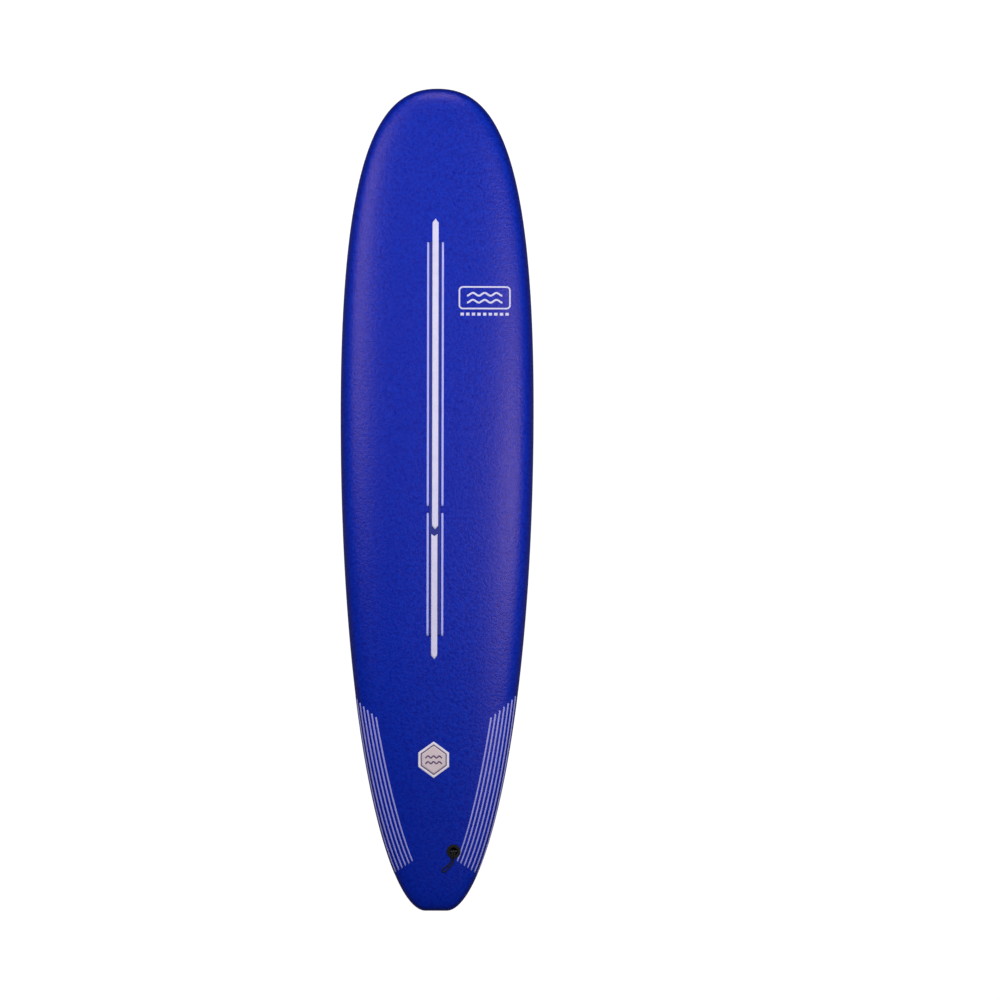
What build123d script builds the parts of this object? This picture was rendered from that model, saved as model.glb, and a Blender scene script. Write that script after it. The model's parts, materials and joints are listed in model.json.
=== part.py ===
from build123d import *
import math
import os
from bisect import bisect_right

# A soft-top longboard surfboard, 8 ft 0 in long. Millimetres. The board lies on its bottom:
# +X is the right rail seen from the deck, +Y is the nose, +Z is the deck.
# The origin is at the middle of the outline, on the lowest line of the bottom.

# ---- The whole board ----
LENGTH = 2438.4
WIDTH = 575.0
THICKNESS = 86.0
NOSE_THICKNESS = 38.0
TAIL_THICKNESS = 36.0
NOSE_ROCKER = 115.0
TAIL_ROCKER = 60.0

# ---- Outline: two Bezier curves from the flat of the tail to the nose, as shares of the size ----
WIDE_POINT = 0.108
TAIL_FULLNESS = 0.387
NOSE_FULLNESS = 0.343
TAIL_FLAT = 0.054
TAIL_ROUND = 0.198
NOSE_ROUND = 0.26

# ---- Sections ----
LOW_POINT = -0.03
ROCKER_POWER = 2.6
TAPER_POWER = 2.4
APEX_SHARE = 0.33
DECK_RAIL_RADIUS = 28.0
DECK_TIP_RADIUS = 13.0
BOTTOM_RAIL_RADIUS = 16.0
BOTTOM_TIP_RADIUS = 10.0
BOTTOM_ROLL_POWER = 2.5
SPINE_SHARE = 0.85
SPINE_FAN = 0.3

# ---- Layers ----
DECK_FOAM = 5.0
SLICK = 1.2
UNDERLAY = 3.5
GLUE = 0.2
SEAM_INSET = 13.0
SEAM_GAP = 0.4
RAIL_JOIN = 0.001
STRINGER_WIDTH = 5.0
STRINGER_OFFSET = 110.0

# ---- Fin boxes, in the bottom ----
FIN_BOX_LENGTH = 156.0
FIN_BOX_WIDTH = 38.0
FIN_BOX_CORNER = 9.0
FIN_PLATE = 4.0
FIN_BODY_LENGTH = 128.0
FIN_BODY_WIDTH = 30.0
FIN_BODY_CORNER = 6.0
FIN_BODY_DEPTH = 20.0
FIN_EDGE_FILLET = 0.6
TAB_LENGTH = 26.4
TAB_WIDTH = 6.6
TAB_DEPTH = 14.0
TAB_PITCH = 72.0
TAB_CORNER = 2.0
CENTRE_FIN_FROM_TAIL = 250.0
SIDE_FIN_FROM_TAIL = 467.0
SIDE_FIN_FROM_RAIL = 52.0
TOE_IN = 2.0
FIN_BLOCK_LENGTH = 176.0
FIN_BLOCK_WIDTH = 48.0
FIN_BLOCK_HEIGHT = 28.0
FIT = 0.2

# ---- Grub screws, one for each tab pocket ----
SCREW_DIAMETER = 5.0
SCREW_LENGTH = 8.0
SCREW_SOCKET = 2.5
SCREW_SOCKET_DEPTH = 3.0
SCREW_POINT = 0.6
SCREW_CLEARANCE = 0.3
SCREW_SUNK = 1.0
SCREW_TILT = 30.0
SCREW_MOUTH = 8.4
SCREW_TRAVEL = 2.0

# ---- Leash plug, in the deck ----
PLUG_FROM_TAIL = 177.0
PLUG_OFFSET = 52.0
PLUG_FLANGE = 42.0
PLUG_FLANGE_THICKNESS = 3.0
PLUG_PROUD = 1.0
PLUG_FILLET = 1.0
PLUG_BODY = 30.0
PLUG_DEPTH = 22.0
PLUG_BORE = 23.0
PLUG_BORE_DEPTH = 17.0
PLUG_LIP_FILLET = 1.2
PIN_DIAMETER = 4.0
PIN_DROP = 8.0
PIN_LENGTH = 28.0
PIN_CLEARANCE = 0.05
PLUG_BLOCK = 50.0
PLUG_BLOCK_HEIGHT = 28.0

# ---- Leash string: a short loop of braided cord tied through the plug ----
STRING_DIAMETER = 4.0
# Its route from the plug's pin and back, from the middle of the flange: right, towards the nose,
# and up from the deck.
STRING_ROUTE = (
    (-3.2, 0.0, -4.4),
    (-3.6, -3.0, 1.6),
    (-4.2, -11.0, 6.0),
    (-5.4, -20.5, 5.6),
    (-9.4, -29.5, 2.4),
    (-17.4, -35.4, 2.3),
    (-26.2, -42.4, 2.3),
    (-33.0, -49.6, 2.3),
    (-33.6, -57.6, 2.3),
    (-27.0, -60.6, 2.3),
    (-19.4, -55.0, 2.3),
    (-10.6, -47.6, 2.3),
    (-2.6, -39.4, 2.3),
    (1.2, -29.2, 2.4),
    (1.8, -19.6, 5.6),
    (2.4, -10.4, 6.0),
    (3.0, -2.8, 1.6),
    (3.2, 0.3, -4.4),
)

# ---- How finely the curved surfaces are sectioned ----
OUTLINE_SAMPLES = 400
RIB_COUNT = 44
RIB_CROWDING = 0.145
RIB_STEPS = (0.0, 0.06, 0.13, 0.21, 0.3, 0.4, 0.5, 0.6, 0.7, 0.8, 0.9, 1.0)
STRIP_STEPS = 56
STRIP_SECTIONS = 15
SMALL = 1e-4
BISECTIONS = 24
DECK = 1
BOTTOM = -1


# ---- The outline, walked from the middle of the tail to the nose ----

def cubic(start, lead, trail, end):
    """Points along a Bezier curve, both ends included."""
    points = []
    for i in range(OUTLINE_SAMPLES + 1):
        t = i / OUTLINE_SAMPLES
        weights = ((1 - t) ** 3, 3 * t * (1 - t) ** 2, 3 * t * t * (1 - t), t**3)
        corners = (start, lead, trail, end)
        x = sum(w * c[0] for w, c in zip(weights, corners))
        y = sum(w * c[1] for w, c in zip(weights, corners))
        points.append((x, y))
    return points


def right_outline():
    """The right half of the outline as points, from the middle of the tail to the nose."""
    half, tip = WIDTH / 2, LENGTH / 2
    wide = WIDE_POINT * LENGTH
    flat = TAIL_FLAT * WIDTH
    corner = flat + TAIL_ROUND * WIDTH
    tail = cubic((flat, -tip), (corner, -tip), (half, wide - TAIL_FULLNESS * LENGTH), (half, wide))
    nose = cubic((half, wide), (half, wide + NOSE_FULLNESS * LENGTH), (NOSE_ROUND * WIDTH, tip), (0, tip))
    return [(0, -tip)] + tail + nose[1:]


OUTLINE = right_outline()
ARC = [0.0]
for before, after in zip(OUTLINE, OUTLINE[1:]):
    ARC.append(ARC[-1] + math.dist(before, after))


def outline_at(share):
    """The outline's point at a share of its length, and its outward direction there."""
    walked = share * ARC[-1]
    i = min(max(bisect_right(ARC, walked) - 1, 0), len(ARC) - 2)
    (x0, y0), (x1, y1) = OUTLINE[i], OUTLINE[i + 1]
    step = math.dist(OUTLINE[i], OUTLINE[i + 1])
    t = (walked - ARC[i]) / step
    return (x0 + t * (x1 - x0), y0 + t * (y1 - y0)), ((y1 - y0) / step, (x0 - x1) / step)


# ---- Heights along the board ----

def away(y):
    """How far a station is from the lowest one: 0 there, 1 at the nose and at the tail."""
    low = LOW_POINT * LENGTH
    end = LENGTH / 2 if y > low else -LENGTH / 2
    return min((y - low) / (end - low), 1.0)


def rocker(y):
    tip = NOSE_ROCKER if y > LOW_POINT * LENGTH else TAIL_ROCKER
    return tip * away(y) ** ROCKER_POWER


def thickness(y):
    tip = NOSE_THICKNESS if y > LOW_POINT * LENGTH else TAIL_THICKNESS
    return THICKNESS - (THICKNESS - tip) * away(y) ** TAPER_POWER


def eased(middle, tip, y):
    return middle + (tip - middle) * away(y) ** 2


# ---- Ribs: upright sections that fan from a spine on the centre line out to the rail ----

class Rib:
    """The section from the spine to the outline at one share of the outline's length.

    A place on it is s: 0 at the rail's apex and 1 on the spine, and it crowds towards the rail,
    where the section turns fastest.
    """

    def __init__(self, share):
        (self.x, self.y), (nx, ny) = outline_at(share)
        if share in (0, 1):
            self.x = 0.0
            nx, ny = 0.0, math.copysign(1.0, self.y)
        fan = (1 - SPINE_FAN) * self.y + SPINE_FAN * LENGTH * (share - 0.5)
        self.spine = SPINE_SHARE * fan
        self.span = math.hypot(self.x, self.y - self.spine)
        self.ux = self.x / self.span
        self.uy = (self.y - self.spine) / self.span
        self.reach = nx * self.x + ny * (self.y - self.spine)

    def outer(self, s, side):
        """Distance from the spine and height of the board's own surface."""
        along = self.span * (1 - s * s)
        y = self.spine + self.uy * along
        inset = self.reach * s * s
        apex = APEX_SHARE * thickness(y)
        if side == DECK:
            rise = thickness(y) - apex
            radius = eased(DECK_RAIL_RADIUS, DECK_TIP_RADIUS, y)
            power = 2 * radius * self.reach / rise**2
            dome = 1 - (1 - inset / self.reach) ** power
            return along, rocker(y) + apex + rise * math.sqrt(dome)
        radius = eased(BOTTOM_RAIL_RADIUS, BOTTOM_TIP_RADIUS, y)
        roll = apex**2 * BOTTOM_ROLL_POWER / (2 * radius)
        tuck = 1 - max(0.0, 1 - inset / roll) ** BOTTOM_ROLL_POWER
        return along, rocker(y) + apex - apex * math.sqrt(tuck)

    def point(self, s, side, depth=0.0):
        """A point under the surface by a depth, measured square to it in the rib's plane."""
        along, height = self.outer(s, side)
        back = self.outer(max(s - SMALL, 0.0), side)
        ahead = self.outer(min(s + SMALL, 1.0), side)
        run, climb = ahead[0] - back[0], ahead[1] - back[1]
        if s == 0:
            run, climb = 0.0, float(side)
        length = math.hypot(run, climb)
        settle = 1 - s**6
        along += depth * settle * -side * climb / length
        height += depth * side * run / length
        return Vector(self.ux * along, self.spine + self.uy * along, height)

    def at_inset(self, inset):
        """The place s at a distance in from the outline."""
        return math.sqrt(inset / self.reach)


def rib_shares():
    """Shares of the outline for the ribs, crowded at the tail and the nose."""
    for i in range(RIB_COUNT + 1):
        t = i / RIB_COUNT
        yield t - RIB_CROWDING * math.sin(2 * math.pi * t) if 0 < i < RIB_COUNT else round(t)


def rib_curve(rib, side, depth, first=0.0, last=1.0):
    """The rib's curve at one depth, between two places on it."""
    points = [rib.point(first + (last - first) * t, side, depth) for t in RIB_STEPS]
    return Edge.make_spline(points, parameters=RIB_STEPS)


def layer(side, top, under, first, last):
    """The right half of a layer between two depths. first and last give places on a rib."""
    wires = []
    for share in rib_shares():
        rib = Rib(share)
        outside = rib_curve(rib, side, top, first(rib), last(rib))
        inside = rib_curve(rib, side, under, first(rib), last(rib))
        rail_end = Edge.make_line(outside @ 0, inside @ 0)
        spine_end = Edge.make_line(outside @ 1, inside @ 1)
        wires.append(Wire([outside, spine_end, inside, rail_end]))
    return Solid.make_loft(wires)


def right_envelope(depth):
    """The right half of everything deeper than a depth."""
    wires = []
    for share in rib_shares():
        rib = Rib(share)
        deck = rib_curve(rib, DECK, depth)
        bottom = rib_curve(rib, BOTTOM, depth)
        spine = Edge.make_line(deck @ 1, bottom @ 1)
        wires.append(Wire([deck, spine, bottom]))
    return Solid.make_loft(wires)


def mirrored(shape):
    return shape.mirror(Plane.YZ)


def both_halves(half):
    return half + mirrored(half)


# ---- Lengthwise cuts through the core ----

def bisect(low, high, too_low):
    """The value where too_low turns from true to false."""
    for _ in range(BISECTIONS):
        middle = (low + high) / 2
        if too_low(middle):
            low = middle
        else:
            high = middle
    return (low + high) / 2


def ends_at(x, depth):
    """The shares of the outline, near the tail and near the nose, whose apex is at x."""
    widest = bisect(0.2, 0.8, lambda share: outline_at(share)[1][1] < 0)
    tail = bisect(0.0, widest, lambda share: Rib(share).point(0, DECK, depth).X < x)
    nose = bisect(widest, 1.0, lambda share: Rib(share).point(0, DECK, depth).X > x)
    return tail, nose


def on_rib(share, x, side, depth):
    """The point of one rib at x."""
    rib = Rib(share)
    return rib.point(bisect(0.0, 1.0, lambda s: rib.point(s, side, depth).X > x), side, depth)


def lengthwise(x, depth):
    """The core's section in the plane at x, as a wire of a deck curve and a bottom curve."""
    tail, nose = ends_at(x, depth)
    first, last = (Rib(share).point(0, DECK, depth) for share in (tail, nose))
    steps = [i / STRIP_STEPS for i in range(STRIP_STEPS + 1)]
    curves = []
    for side in (DECK, BOTTOM):
        points = [Vector(x, first.Y, first.Z)]
        for t in steps[1:-1]:
            y = first.Y + (last.Y - first.Y) * (1 - math.cos(math.pi * t)) / 2
            share = bisect(tail, nose, lambda share: on_rib(share, x, side, depth).Y < y)
            points.append(Vector(x, y, on_rib(share, x, side, depth).Z))
        points.append(Vector(x, last.Y, last.Z))
        curves.append(Edge.make_spline(points, parameters=steps))
    return Wire(curves)


def strip(left, right, depth):
    """The core between two upright planes on the right half."""
    xs = [left + (right - left) * i / (STRIP_SECTIONS - 1) for i in range(STRIP_SECTIONS)]
    return Solid.make_loft([lengthwise(x, depth) for x in xs])


def board_strip(outer_x, width, depth):
    """A board of one width, its outline that of the core at outer_x."""
    return extrude(Face(lengthwise(outer_x, depth)), width, dir=(-1, 0, 0))


# ---- Places on the skin ----

def skin_point(x, y, side):
    """The board's own surface over or under a place on the plan, right half or left."""
    reach_x = abs(x)
    if reach_x < SMALL:
        for share in (0, 1):
            rib = Rib(share)
            if (y - rib.spine) * rib.uy > 0:
                return Vector(0, y, rib.point(math.sqrt((rib.y - y) / (rib.y - rib.spine)), side).Z)
        share = bisect(0.0, 1.0, lambda share: Rib(share).spine < y)
        return Vector(0, y, Rib(share).point(1, side).Z)
    tail, nose = ends_at(reach_x, 0)

    def behind(share):
        rib = Rib(share)
        return rib.spine + reach_x / rib.x * (rib.y - rib.spine) < y

    rib = Rib(bisect(tail, nose, behind))
    s = math.sqrt(max(0.0, 1 - reach_x / rib.x))
    return Vector(x, y, rib.point(s, side).Z)


def skin_plane(x, y, side, width, length, turn=0.0):
    """A plane for an insert of one size: +Z points out of the board, +Y to the nose.

    It leans with the skin at the insert's edges, and lies halfway between them and its middle.
    """
    tail, nose = (skin_point(x, y + step, side) for step in (-length / 2, length / 2))
    left, right = (skin_point(x + step, y, side) for step in (-width / 2, width / 2))
    middle = skin_point(x, y, side)
    origin = middle / 2 + (tail + nose + left + right) / 8
    across = (right - left) * side
    normal = across.cross(nose - tail)
    return Plane(origin=origin, x_dir=across, z_dir=normal).rotated((0, 0, turn))


# ---- Layers and core ----

CORE_DEPTH = max(DECK_FOAM, SLICK + GLUE + UNDERLAY) + GLUE
INNER_START = STRINGER_WIDTH / 2 + GLUE
INNER_END = STRINGER_OFFSET - STRINGER_WIDTH / 2 - GLUE
OUTER_START = STRINGER_OFFSET + STRINGER_WIDTH / 2 + GLUE


def make_deck_skin():
    half = layer(DECK, 0, DECK_FOAM, lambda rib: RAIL_JOIN, lambda rib: 1)
    return both_halves(half) - plug_prism(PLUG_FLANGE + 2 * FIT)


def make_right_rail_skin():
    return layer(
        BOTTOM, 0, DECK_FOAM, lambda rib: RAIL_JOIN, lambda rib: rib.at_inset(SEAM_INSET - SEAM_GAP / 2)
    )


def make_bottom_layer(top, under):
    half = layer(BOTTOM, top, under, lambda rib: rib.at_inset(SEAM_INSET + SEAM_GAP / 2), lambda rib: 1)
    sheet = both_halves(half)
    for name, plane in FIN_PLANES.items():
        hole = fin_hole(plane)
        sheet -= hole
        if name == "right":
            sheet -= mirrored(hole)
    return sheet


# ---- Fin boxes: in their own planes +Z points out of the bottom, so they are built downwards ----

def upright(length, width, corner, start, end):
    """A rounded block centred on the plane, from one height to another."""
    profile = Plane.XY.offset(start) * RectangleRounded(width, length, corner)
    return extrude(profile, end - start)


def fin_hole(plane):
    """The hole that a fin box takes in the layers over it."""
    size = FIN_BOX_LENGTH + 2 * FIT, FIN_BOX_WIDTH + 2 * FIT
    return plane.location * upright(*size, FIN_BOX_CORNER + FIT, -2 * CORE_DEPTH, 2 * CORE_DEPTH)


def fin_block_prism(plane, shrink):
    """The socket of a fin block, or the block itself when shrunk by its fit."""
    size = FIN_BLOCK_LENGTH - 2 * shrink, FIN_BLOCK_WIDTH - 2 * shrink
    return plane.location * upright(*size, FIN_BOX_CORNER, shrink - FIN_BLOCK_HEIGHT, CORE_DEPTH)


def make_fin_block(plane, envelope):
    """A hard foam block under the skin, with the box's own body let into it."""
    block = envelope & fin_block_prism(plane, FIT)
    body = upright(
        FIN_BODY_LENGTH + 2 * FIT, FIN_BODY_WIDTH + 2 * FIT, FIN_BODY_CORNER + FIT,
        -FIN_BODY_DEPTH - FIT, CORE_DEPTH,
    )
    return block - plane.location * body


def screw_frame(end):
    """Where one screw's axis meets the box's face, +Z pointing out along the axis."""
    return Location((SCREW_MOUTH, end * TAB_PITCH / 2, 0), (0, SCREW_TILT, 0))


def make_fin_box():
    box = upright(FIN_BOX_LENGTH, FIN_BOX_WIDTH, FIN_BOX_CORNER, -FIN_PLATE, 0)
    box = fillet(box.edges().group_by(Axis.Z)[-1], FIN_EDGE_FILLET)
    box += upright(FIN_BODY_LENGTH, FIN_BODY_WIDTH, FIN_BODY_CORNER, -FIN_BODY_DEPTH, -FIN_PLATE)
    to_tab = (SCREW_MOUTH - TAB_WIDTH / 2) / math.sin(math.radians(SCREW_TILT))
    bore_length = to_tab + TAB_WIDTH / 2
    for end in (-1, 1):
        pocket = upright(TAB_LENGTH, TAB_WIDTH, TAB_CORNER, -TAB_DEPTH, FIN_PLATE)
        box -= Pos(0, end * TAB_PITCH / 2, 0) * pocket
        bore = Cylinder(SCREW_DIAMETER / 2 + SCREW_CLEARANCE, 2 * bore_length)
        box -= screw_frame(end) * bore
    return box


def make_screw():
    """A hexagon-socket grub screw with its outer end at z = 0 and its point at the far end."""
    screw = Pos(0, 0, -SCREW_LENGTH / 2) * Cylinder(SCREW_DIAMETER / 2, SCREW_LENGTH)
    screw = chamfer(screw.edges().group_by(Axis.Z)[0], SCREW_POINT)
    socket_radius = SCREW_SOCKET / math.sqrt(3)
    return screw - extrude(RegularPolygon(socket_radius, 6), -SCREW_SOCKET_DEPTH)


# ---- Leash plug: in its plane +Z points up out of the deck ----

def plug_prism(diameter):
    return PLUG_PLANE.location * Cylinder(diameter / 2, 4 * CORE_DEPTH)


def plug_block_prism(shrink):
    low = shrink - PLUG_BLOCK_HEIGHT
    size = PLUG_BLOCK - 2 * shrink
    return PLUG_PLANE.location * upright(size, size, FIN_BOX_CORNER, low, CORE_DEPTH)


def make_plug_block(envelope):
    socket = Cylinder(PLUG_BODY / 2 + FIT, 2 * (PLUG_DEPTH + FIT))
    return (envelope & plug_block_prism(FIT)) - PLUG_PLANE.location * socket


def make_plug_cup():
    top = PLUG_PROUD
    flange = Pos(0, 0, top - PLUG_FLANGE_THICKNESS / 2) * Cylinder(PLUG_FLANGE / 2, PLUG_FLANGE_THICKNESS)
    flange = fillet(flange.edges().group_by(Axis.Z)[-1], PLUG_FILLET)
    depth = PLUG_DEPTH - PLUG_FLANGE_THICKNESS + top
    body = Pos(0, 0, top - PLUG_FLANGE_THICKNESS - depth / 2) * Cylinder(PLUG_BODY / 2, depth)
    bore = Pos(0, 0, top - PLUG_BORE_DEPTH / 2) * Cylinder(PLUG_BORE / 2, PLUG_BORE_DEPTH)
    cup = flange + body - bore
    lip = cup.edges().filter_by(GeomType.CIRCLE).group_by(Axis.Z)[-1].sort_by(SortBy.RADIUS)[0]
    cup = fillet(lip, PLUG_LIP_FILLET)
    return cup - pin_shape(PIN_CLEARANCE)


def pin_shape(clearance):
    """The pin across the cup, or the hole for it."""
    pin = Cylinder(PIN_DIAMETER / 2 + clearance, PIN_LENGTH + 2 * clearance)
    return Pos(0, 0, PLUG_PROUD - PIN_DROP) * (Rot(0, 90, 0) * pin)


# ---- The string ----

def string_points():
    """The route, standing on the deck's own surface beyond the flange."""
    points = []
    for right, forward, up in STRING_ROUTE:
        place = PLUG_PLANE.from_local_coords((right, forward, 0))
        over_cup = math.hypot(right, forward) < PLUG_FLANGE / 2
        base = place.Z if over_cup else skin_point(place.X, place.Y, DECK).Z
        points.append(Vector(place.X, place.Y, base + up))
    return points


def corner_radii(points):
    """The largest arc that each corner leaves room for."""
    radii = []
    for a, b, c in zip(points, points[1:], points[2:]):
        turn = math.radians((b - a).get_angle(c - b))
        shorter = min((b - a).length, (c - b).length)
        radii.append(0.45 * shorter / math.tan(turn / 2))
    return radii


def make_string():
    points = string_points()
    radii = corner_radii(points)
    path = FilletPolyline(*points, radius=radii)
    start = Plane(origin=path @ 0, z_dir=path % 0)
    tube = sweep(start * Circle(STRING_DIAMETER / 2), path=path)
    stated = math.pi * STRING_DIAMETER**2 / 4 * path.length
    print("leash string length", round(path.length, 1), "volume ratio", round(tube.volume / stated, 4))
    print("leash string radii", [round(r, 1) for r in radii])
    print("leash string points", [tuple(round(v, 1) for v in p) for p in points])
    return tube


# ---- Where the inserts stand ----

def side_fin_place():
    """Where the side boxes stand: a set distance in from the rail."""
    y = SIDE_FIN_FROM_TAIL - LENGTH / 2
    share = bisect(0.0, 1.0, lambda share: outline_at(share)[0][1] < y)
    return outline_at(share)[0][0] - SIDE_FIN_FROM_RAIL, y


SIDE_X, SIDE_Y = side_fin_place()
BOX_SIZE = FIN_BOX_WIDTH, FIN_BOX_LENGTH
CENTRE_Y = CENTRE_FIN_FROM_TAIL - LENGTH / 2
PLUG_Y = PLUG_FROM_TAIL - LENGTH / 2
FIN_PLANES = {
    "centre": skin_plane(0, CENTRE_Y, BOTTOM, *BOX_SIZE),
    "right": skin_plane(SIDE_X, SIDE_Y, BOTTOM, *BOX_SIZE, TOE_IN),
}
PLUG_PLANE = skin_plane(PLUG_OFFSET, PLUG_Y, DECK, PLUG_FLANGE, PLUG_FLANGE)


# ---- The parts ----

def core_parts(right_core):
    """The foam cores and the side stringers, left and right, round the inserts."""
    stringer_outside = STRINGER_OFFSET + STRINGER_WIDTH / 2
    right_side = {
        "core_{}_outer": split(right_core, Plane.YZ.offset(OUTER_START), keep=Keep.TOP),
        "core_{}_inner": strip(INNER_START, INNER_END, CORE_DEPTH),
        "stringer_{}": board_strip(stringer_outside, STRINGER_WIDTH, CORE_DEPTH),
    }
    parts = {}
    for name, shape in right_side.items():
        for plane in FIN_PLANES.values():
            shape -= fin_block_prism(plane, 0)
        parts[name.format("left")] = mirrored(shape)
        parts[name.format("right")] = shape - plug_block_prism(0)
    middle = board_strip(STRINGER_WIDTH / 2, STRINGER_WIDTH, CORE_DEPTH)
    parts["stringer_centre"] = middle - fin_block_prism(FIN_PLANES["centre"], 0)
    return parts


def fin_parts(envelope):
    """Each fin box with its block and its two screws. The left one mirrors the right one."""
    parts = {}
    for name, plane in FIN_PLANES.items():
        pieces = {
            "fin_box_{}": plane.location * make_fin_box(),
            "fin_block_{}": make_fin_block(plane, envelope),
        }
        for end, place in ((-1, "rear"), (1, "front")):
            seat = plane.location * screw_frame(end) * Pos(0, 0, -SCREW_SUNK)
            pieces["grub_screw_{}_" + place] = seat * make_screw()
        for pattern, piece in pieces.items():
            parts[pattern.format(name)] = piece
            if name == "right":
                parts[pattern.format("left")] = mirrored(piece)
    return parts


def all_parts():
    rail = make_right_rail_skin()
    right_core = right_envelope(CORE_DEPTH)
    envelope = both_halves(right_core)
    parts = {
        "deck_skin": make_deck_skin(),
        "rail_skin_right": rail,
        "rail_skin_left": mirrored(rail),
        "bottom_slick": make_bottom_layer(0, SLICK),
        "bottom_underlay": make_bottom_layer(SLICK + GLUE, SLICK + GLUE + UNDERLAY),
        "leash_plug_block": make_plug_block(envelope),
        "leash_plug_cup": PLUG_PLANE.location * make_plug_cup(),
        "leash_plug_pin": PLUG_PLANE.location * pin_shape(0),
        "leash_string": make_string(),
    }
    return parts | core_parts(right_core) | fin_parts(envelope)


def print_record_values():
    """Places and travels that the record states."""
    for name, plane in FIN_PLANES.items():
        print(name, "box", plane.origin, plane.z_dir)
        for end in (-1, 1):
            seat = plane.location * screw_frame(end)
            screwed_in = seat * Pos(0, 0, -SCREW_TRAVEL)
            print("  a screw travels from", seat.position, "to", screwed_in.position)
    print("plug", PLUG_PLANE.origin, PLUG_PLANE.z_dir)


os.makedirs("parts", exist_ok=True)
for name, part in all_parts().items():
    export_step(part, f"parts/{name}.step")
print_record_values()
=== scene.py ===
# %% [markdown]
# # A soft-top longboard
#
# This lesson dresses an engineering model of a foam surfboard: a blue foam deck, dark teal foam rails and
# a yellow plastic bottom, with white printed bars, three fin boxes and a leash plug. The engineering model
# gives the frame. Each visible skin is made again here as a smooth surface, worked out with numpy.

# %% Load the frame
import json
import math

import bmesh
import bpy
import numpy as np
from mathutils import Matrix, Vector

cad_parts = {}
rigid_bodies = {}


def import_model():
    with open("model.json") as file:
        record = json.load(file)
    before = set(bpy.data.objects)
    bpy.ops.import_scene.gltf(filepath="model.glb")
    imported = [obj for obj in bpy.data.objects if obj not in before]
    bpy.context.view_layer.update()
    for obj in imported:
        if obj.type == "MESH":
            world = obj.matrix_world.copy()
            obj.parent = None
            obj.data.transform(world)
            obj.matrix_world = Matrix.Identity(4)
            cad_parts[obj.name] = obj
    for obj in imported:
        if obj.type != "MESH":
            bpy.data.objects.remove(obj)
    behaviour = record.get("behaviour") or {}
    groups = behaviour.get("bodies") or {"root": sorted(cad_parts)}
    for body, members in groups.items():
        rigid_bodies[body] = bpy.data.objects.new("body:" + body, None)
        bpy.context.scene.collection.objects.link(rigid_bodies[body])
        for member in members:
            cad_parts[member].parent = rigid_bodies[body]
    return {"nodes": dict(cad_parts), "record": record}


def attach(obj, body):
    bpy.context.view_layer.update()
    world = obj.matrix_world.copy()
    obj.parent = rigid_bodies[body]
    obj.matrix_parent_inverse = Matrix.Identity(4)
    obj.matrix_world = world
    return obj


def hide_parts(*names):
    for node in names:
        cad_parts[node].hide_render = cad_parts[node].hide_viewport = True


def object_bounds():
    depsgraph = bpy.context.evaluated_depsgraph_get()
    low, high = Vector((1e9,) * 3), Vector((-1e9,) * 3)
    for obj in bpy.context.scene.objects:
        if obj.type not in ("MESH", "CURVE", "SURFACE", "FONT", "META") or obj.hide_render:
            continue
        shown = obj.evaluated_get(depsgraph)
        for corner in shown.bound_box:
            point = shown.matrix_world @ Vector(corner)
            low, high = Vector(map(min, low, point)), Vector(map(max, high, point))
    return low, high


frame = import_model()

CAD_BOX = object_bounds()
BOARD = "board"
print("engineering model's box, metres:", [[round(v, 4) for v in corner] for corner in CAD_BOX])

# %% [markdown]
# ## The camera
#
# The board is seen from straight above, as in a shop's catalogue. A long lens a long way off shows it with
# hardly any perspective. It could be an orthographic camera, but a long lens keeps soft reflections that
# change a little along the board, as they do in a real studio.

# %% The camera
CAMERA_HEIGHT = 20.0
CAMERA_SIDEWAYS = 0.1876
CAMERA_FORWARD = 0.0012
CAMERA_TURN = math.radians(0.12)
SENSOR = 0.036
FRAME_WIDTH = 2.981

camera_data = bpy.data.cameras.new("camera")
camera_data.sensor_width = 1000 * SENSOR
camera_data.lens = 1000 * SENSOR * CAMERA_HEIGHT / FRAME_WIDTH
camera_data.clip_end = 200.0
camera = bpy.data.objects.new("camera", camera_data)
camera.location = (CAMERA_SIDEWAYS, CAMERA_FORWARD, CAMERA_HEIGHT)
camera.rotation_euler = (0.0, 0.0, CAMERA_TURN)
bpy.context.collection.objects.link(camera)
bpy.context.scene.camera = camera
print("lens", round(camera_data.lens, 1), "mm")

# %% [markdown]
# ## The shape of the board
#
# A shaper draws a board as an outline, a rocker line and a set of sections. The same three things give
# every point of the skin here. The outline is two Bezier curves, walked by the length of its edge. From
# each place on the outline a rib runs in to a spine on the centre line, and its height over the plan
# comes from the rocker, the thickness and a rounded rail. With it, the foam, the slick and the prints all
# come from one function, so that they fit each other to a hair.

# %% The board's sizes, in metres
LENGTH = CAD_BOX[1][1] - CAD_BOX[0][1]
WIDTH = CAD_BOX[1][0] - CAD_BOX[0][0]
THICKNESS, NOSE_THICKNESS, TAIL_THICKNESS = 0.086, 0.038, 0.036
NOSE_ROCKER, TAIL_ROCKER = 0.115, 0.060
WIDE_POINT, TAIL_FULLNESS, NOSE_FULLNESS = 0.108, 0.387, 0.343
TAIL_FLAT, TAIL_ROUND, NOSE_ROUND = 0.054, 0.198, 0.26
LOW_POINT, ROCKER_POWER, TAPER_POWER = -0.03, 2.6, 2.4
APEX_SHARE = 0.33
DECK_RADII = (0.028, 0.013)
BOTTOM_RADII = (0.016, 0.010)
BOTTOM_ROLL_POWER = 2.5
SPINE_SHARE, SPINE_FAN = 0.85, 0.3
DECK, BOTTOM = 1, -1
print("board", round(LENGTH, 4), "by", round(WIDTH, 4))


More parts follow.
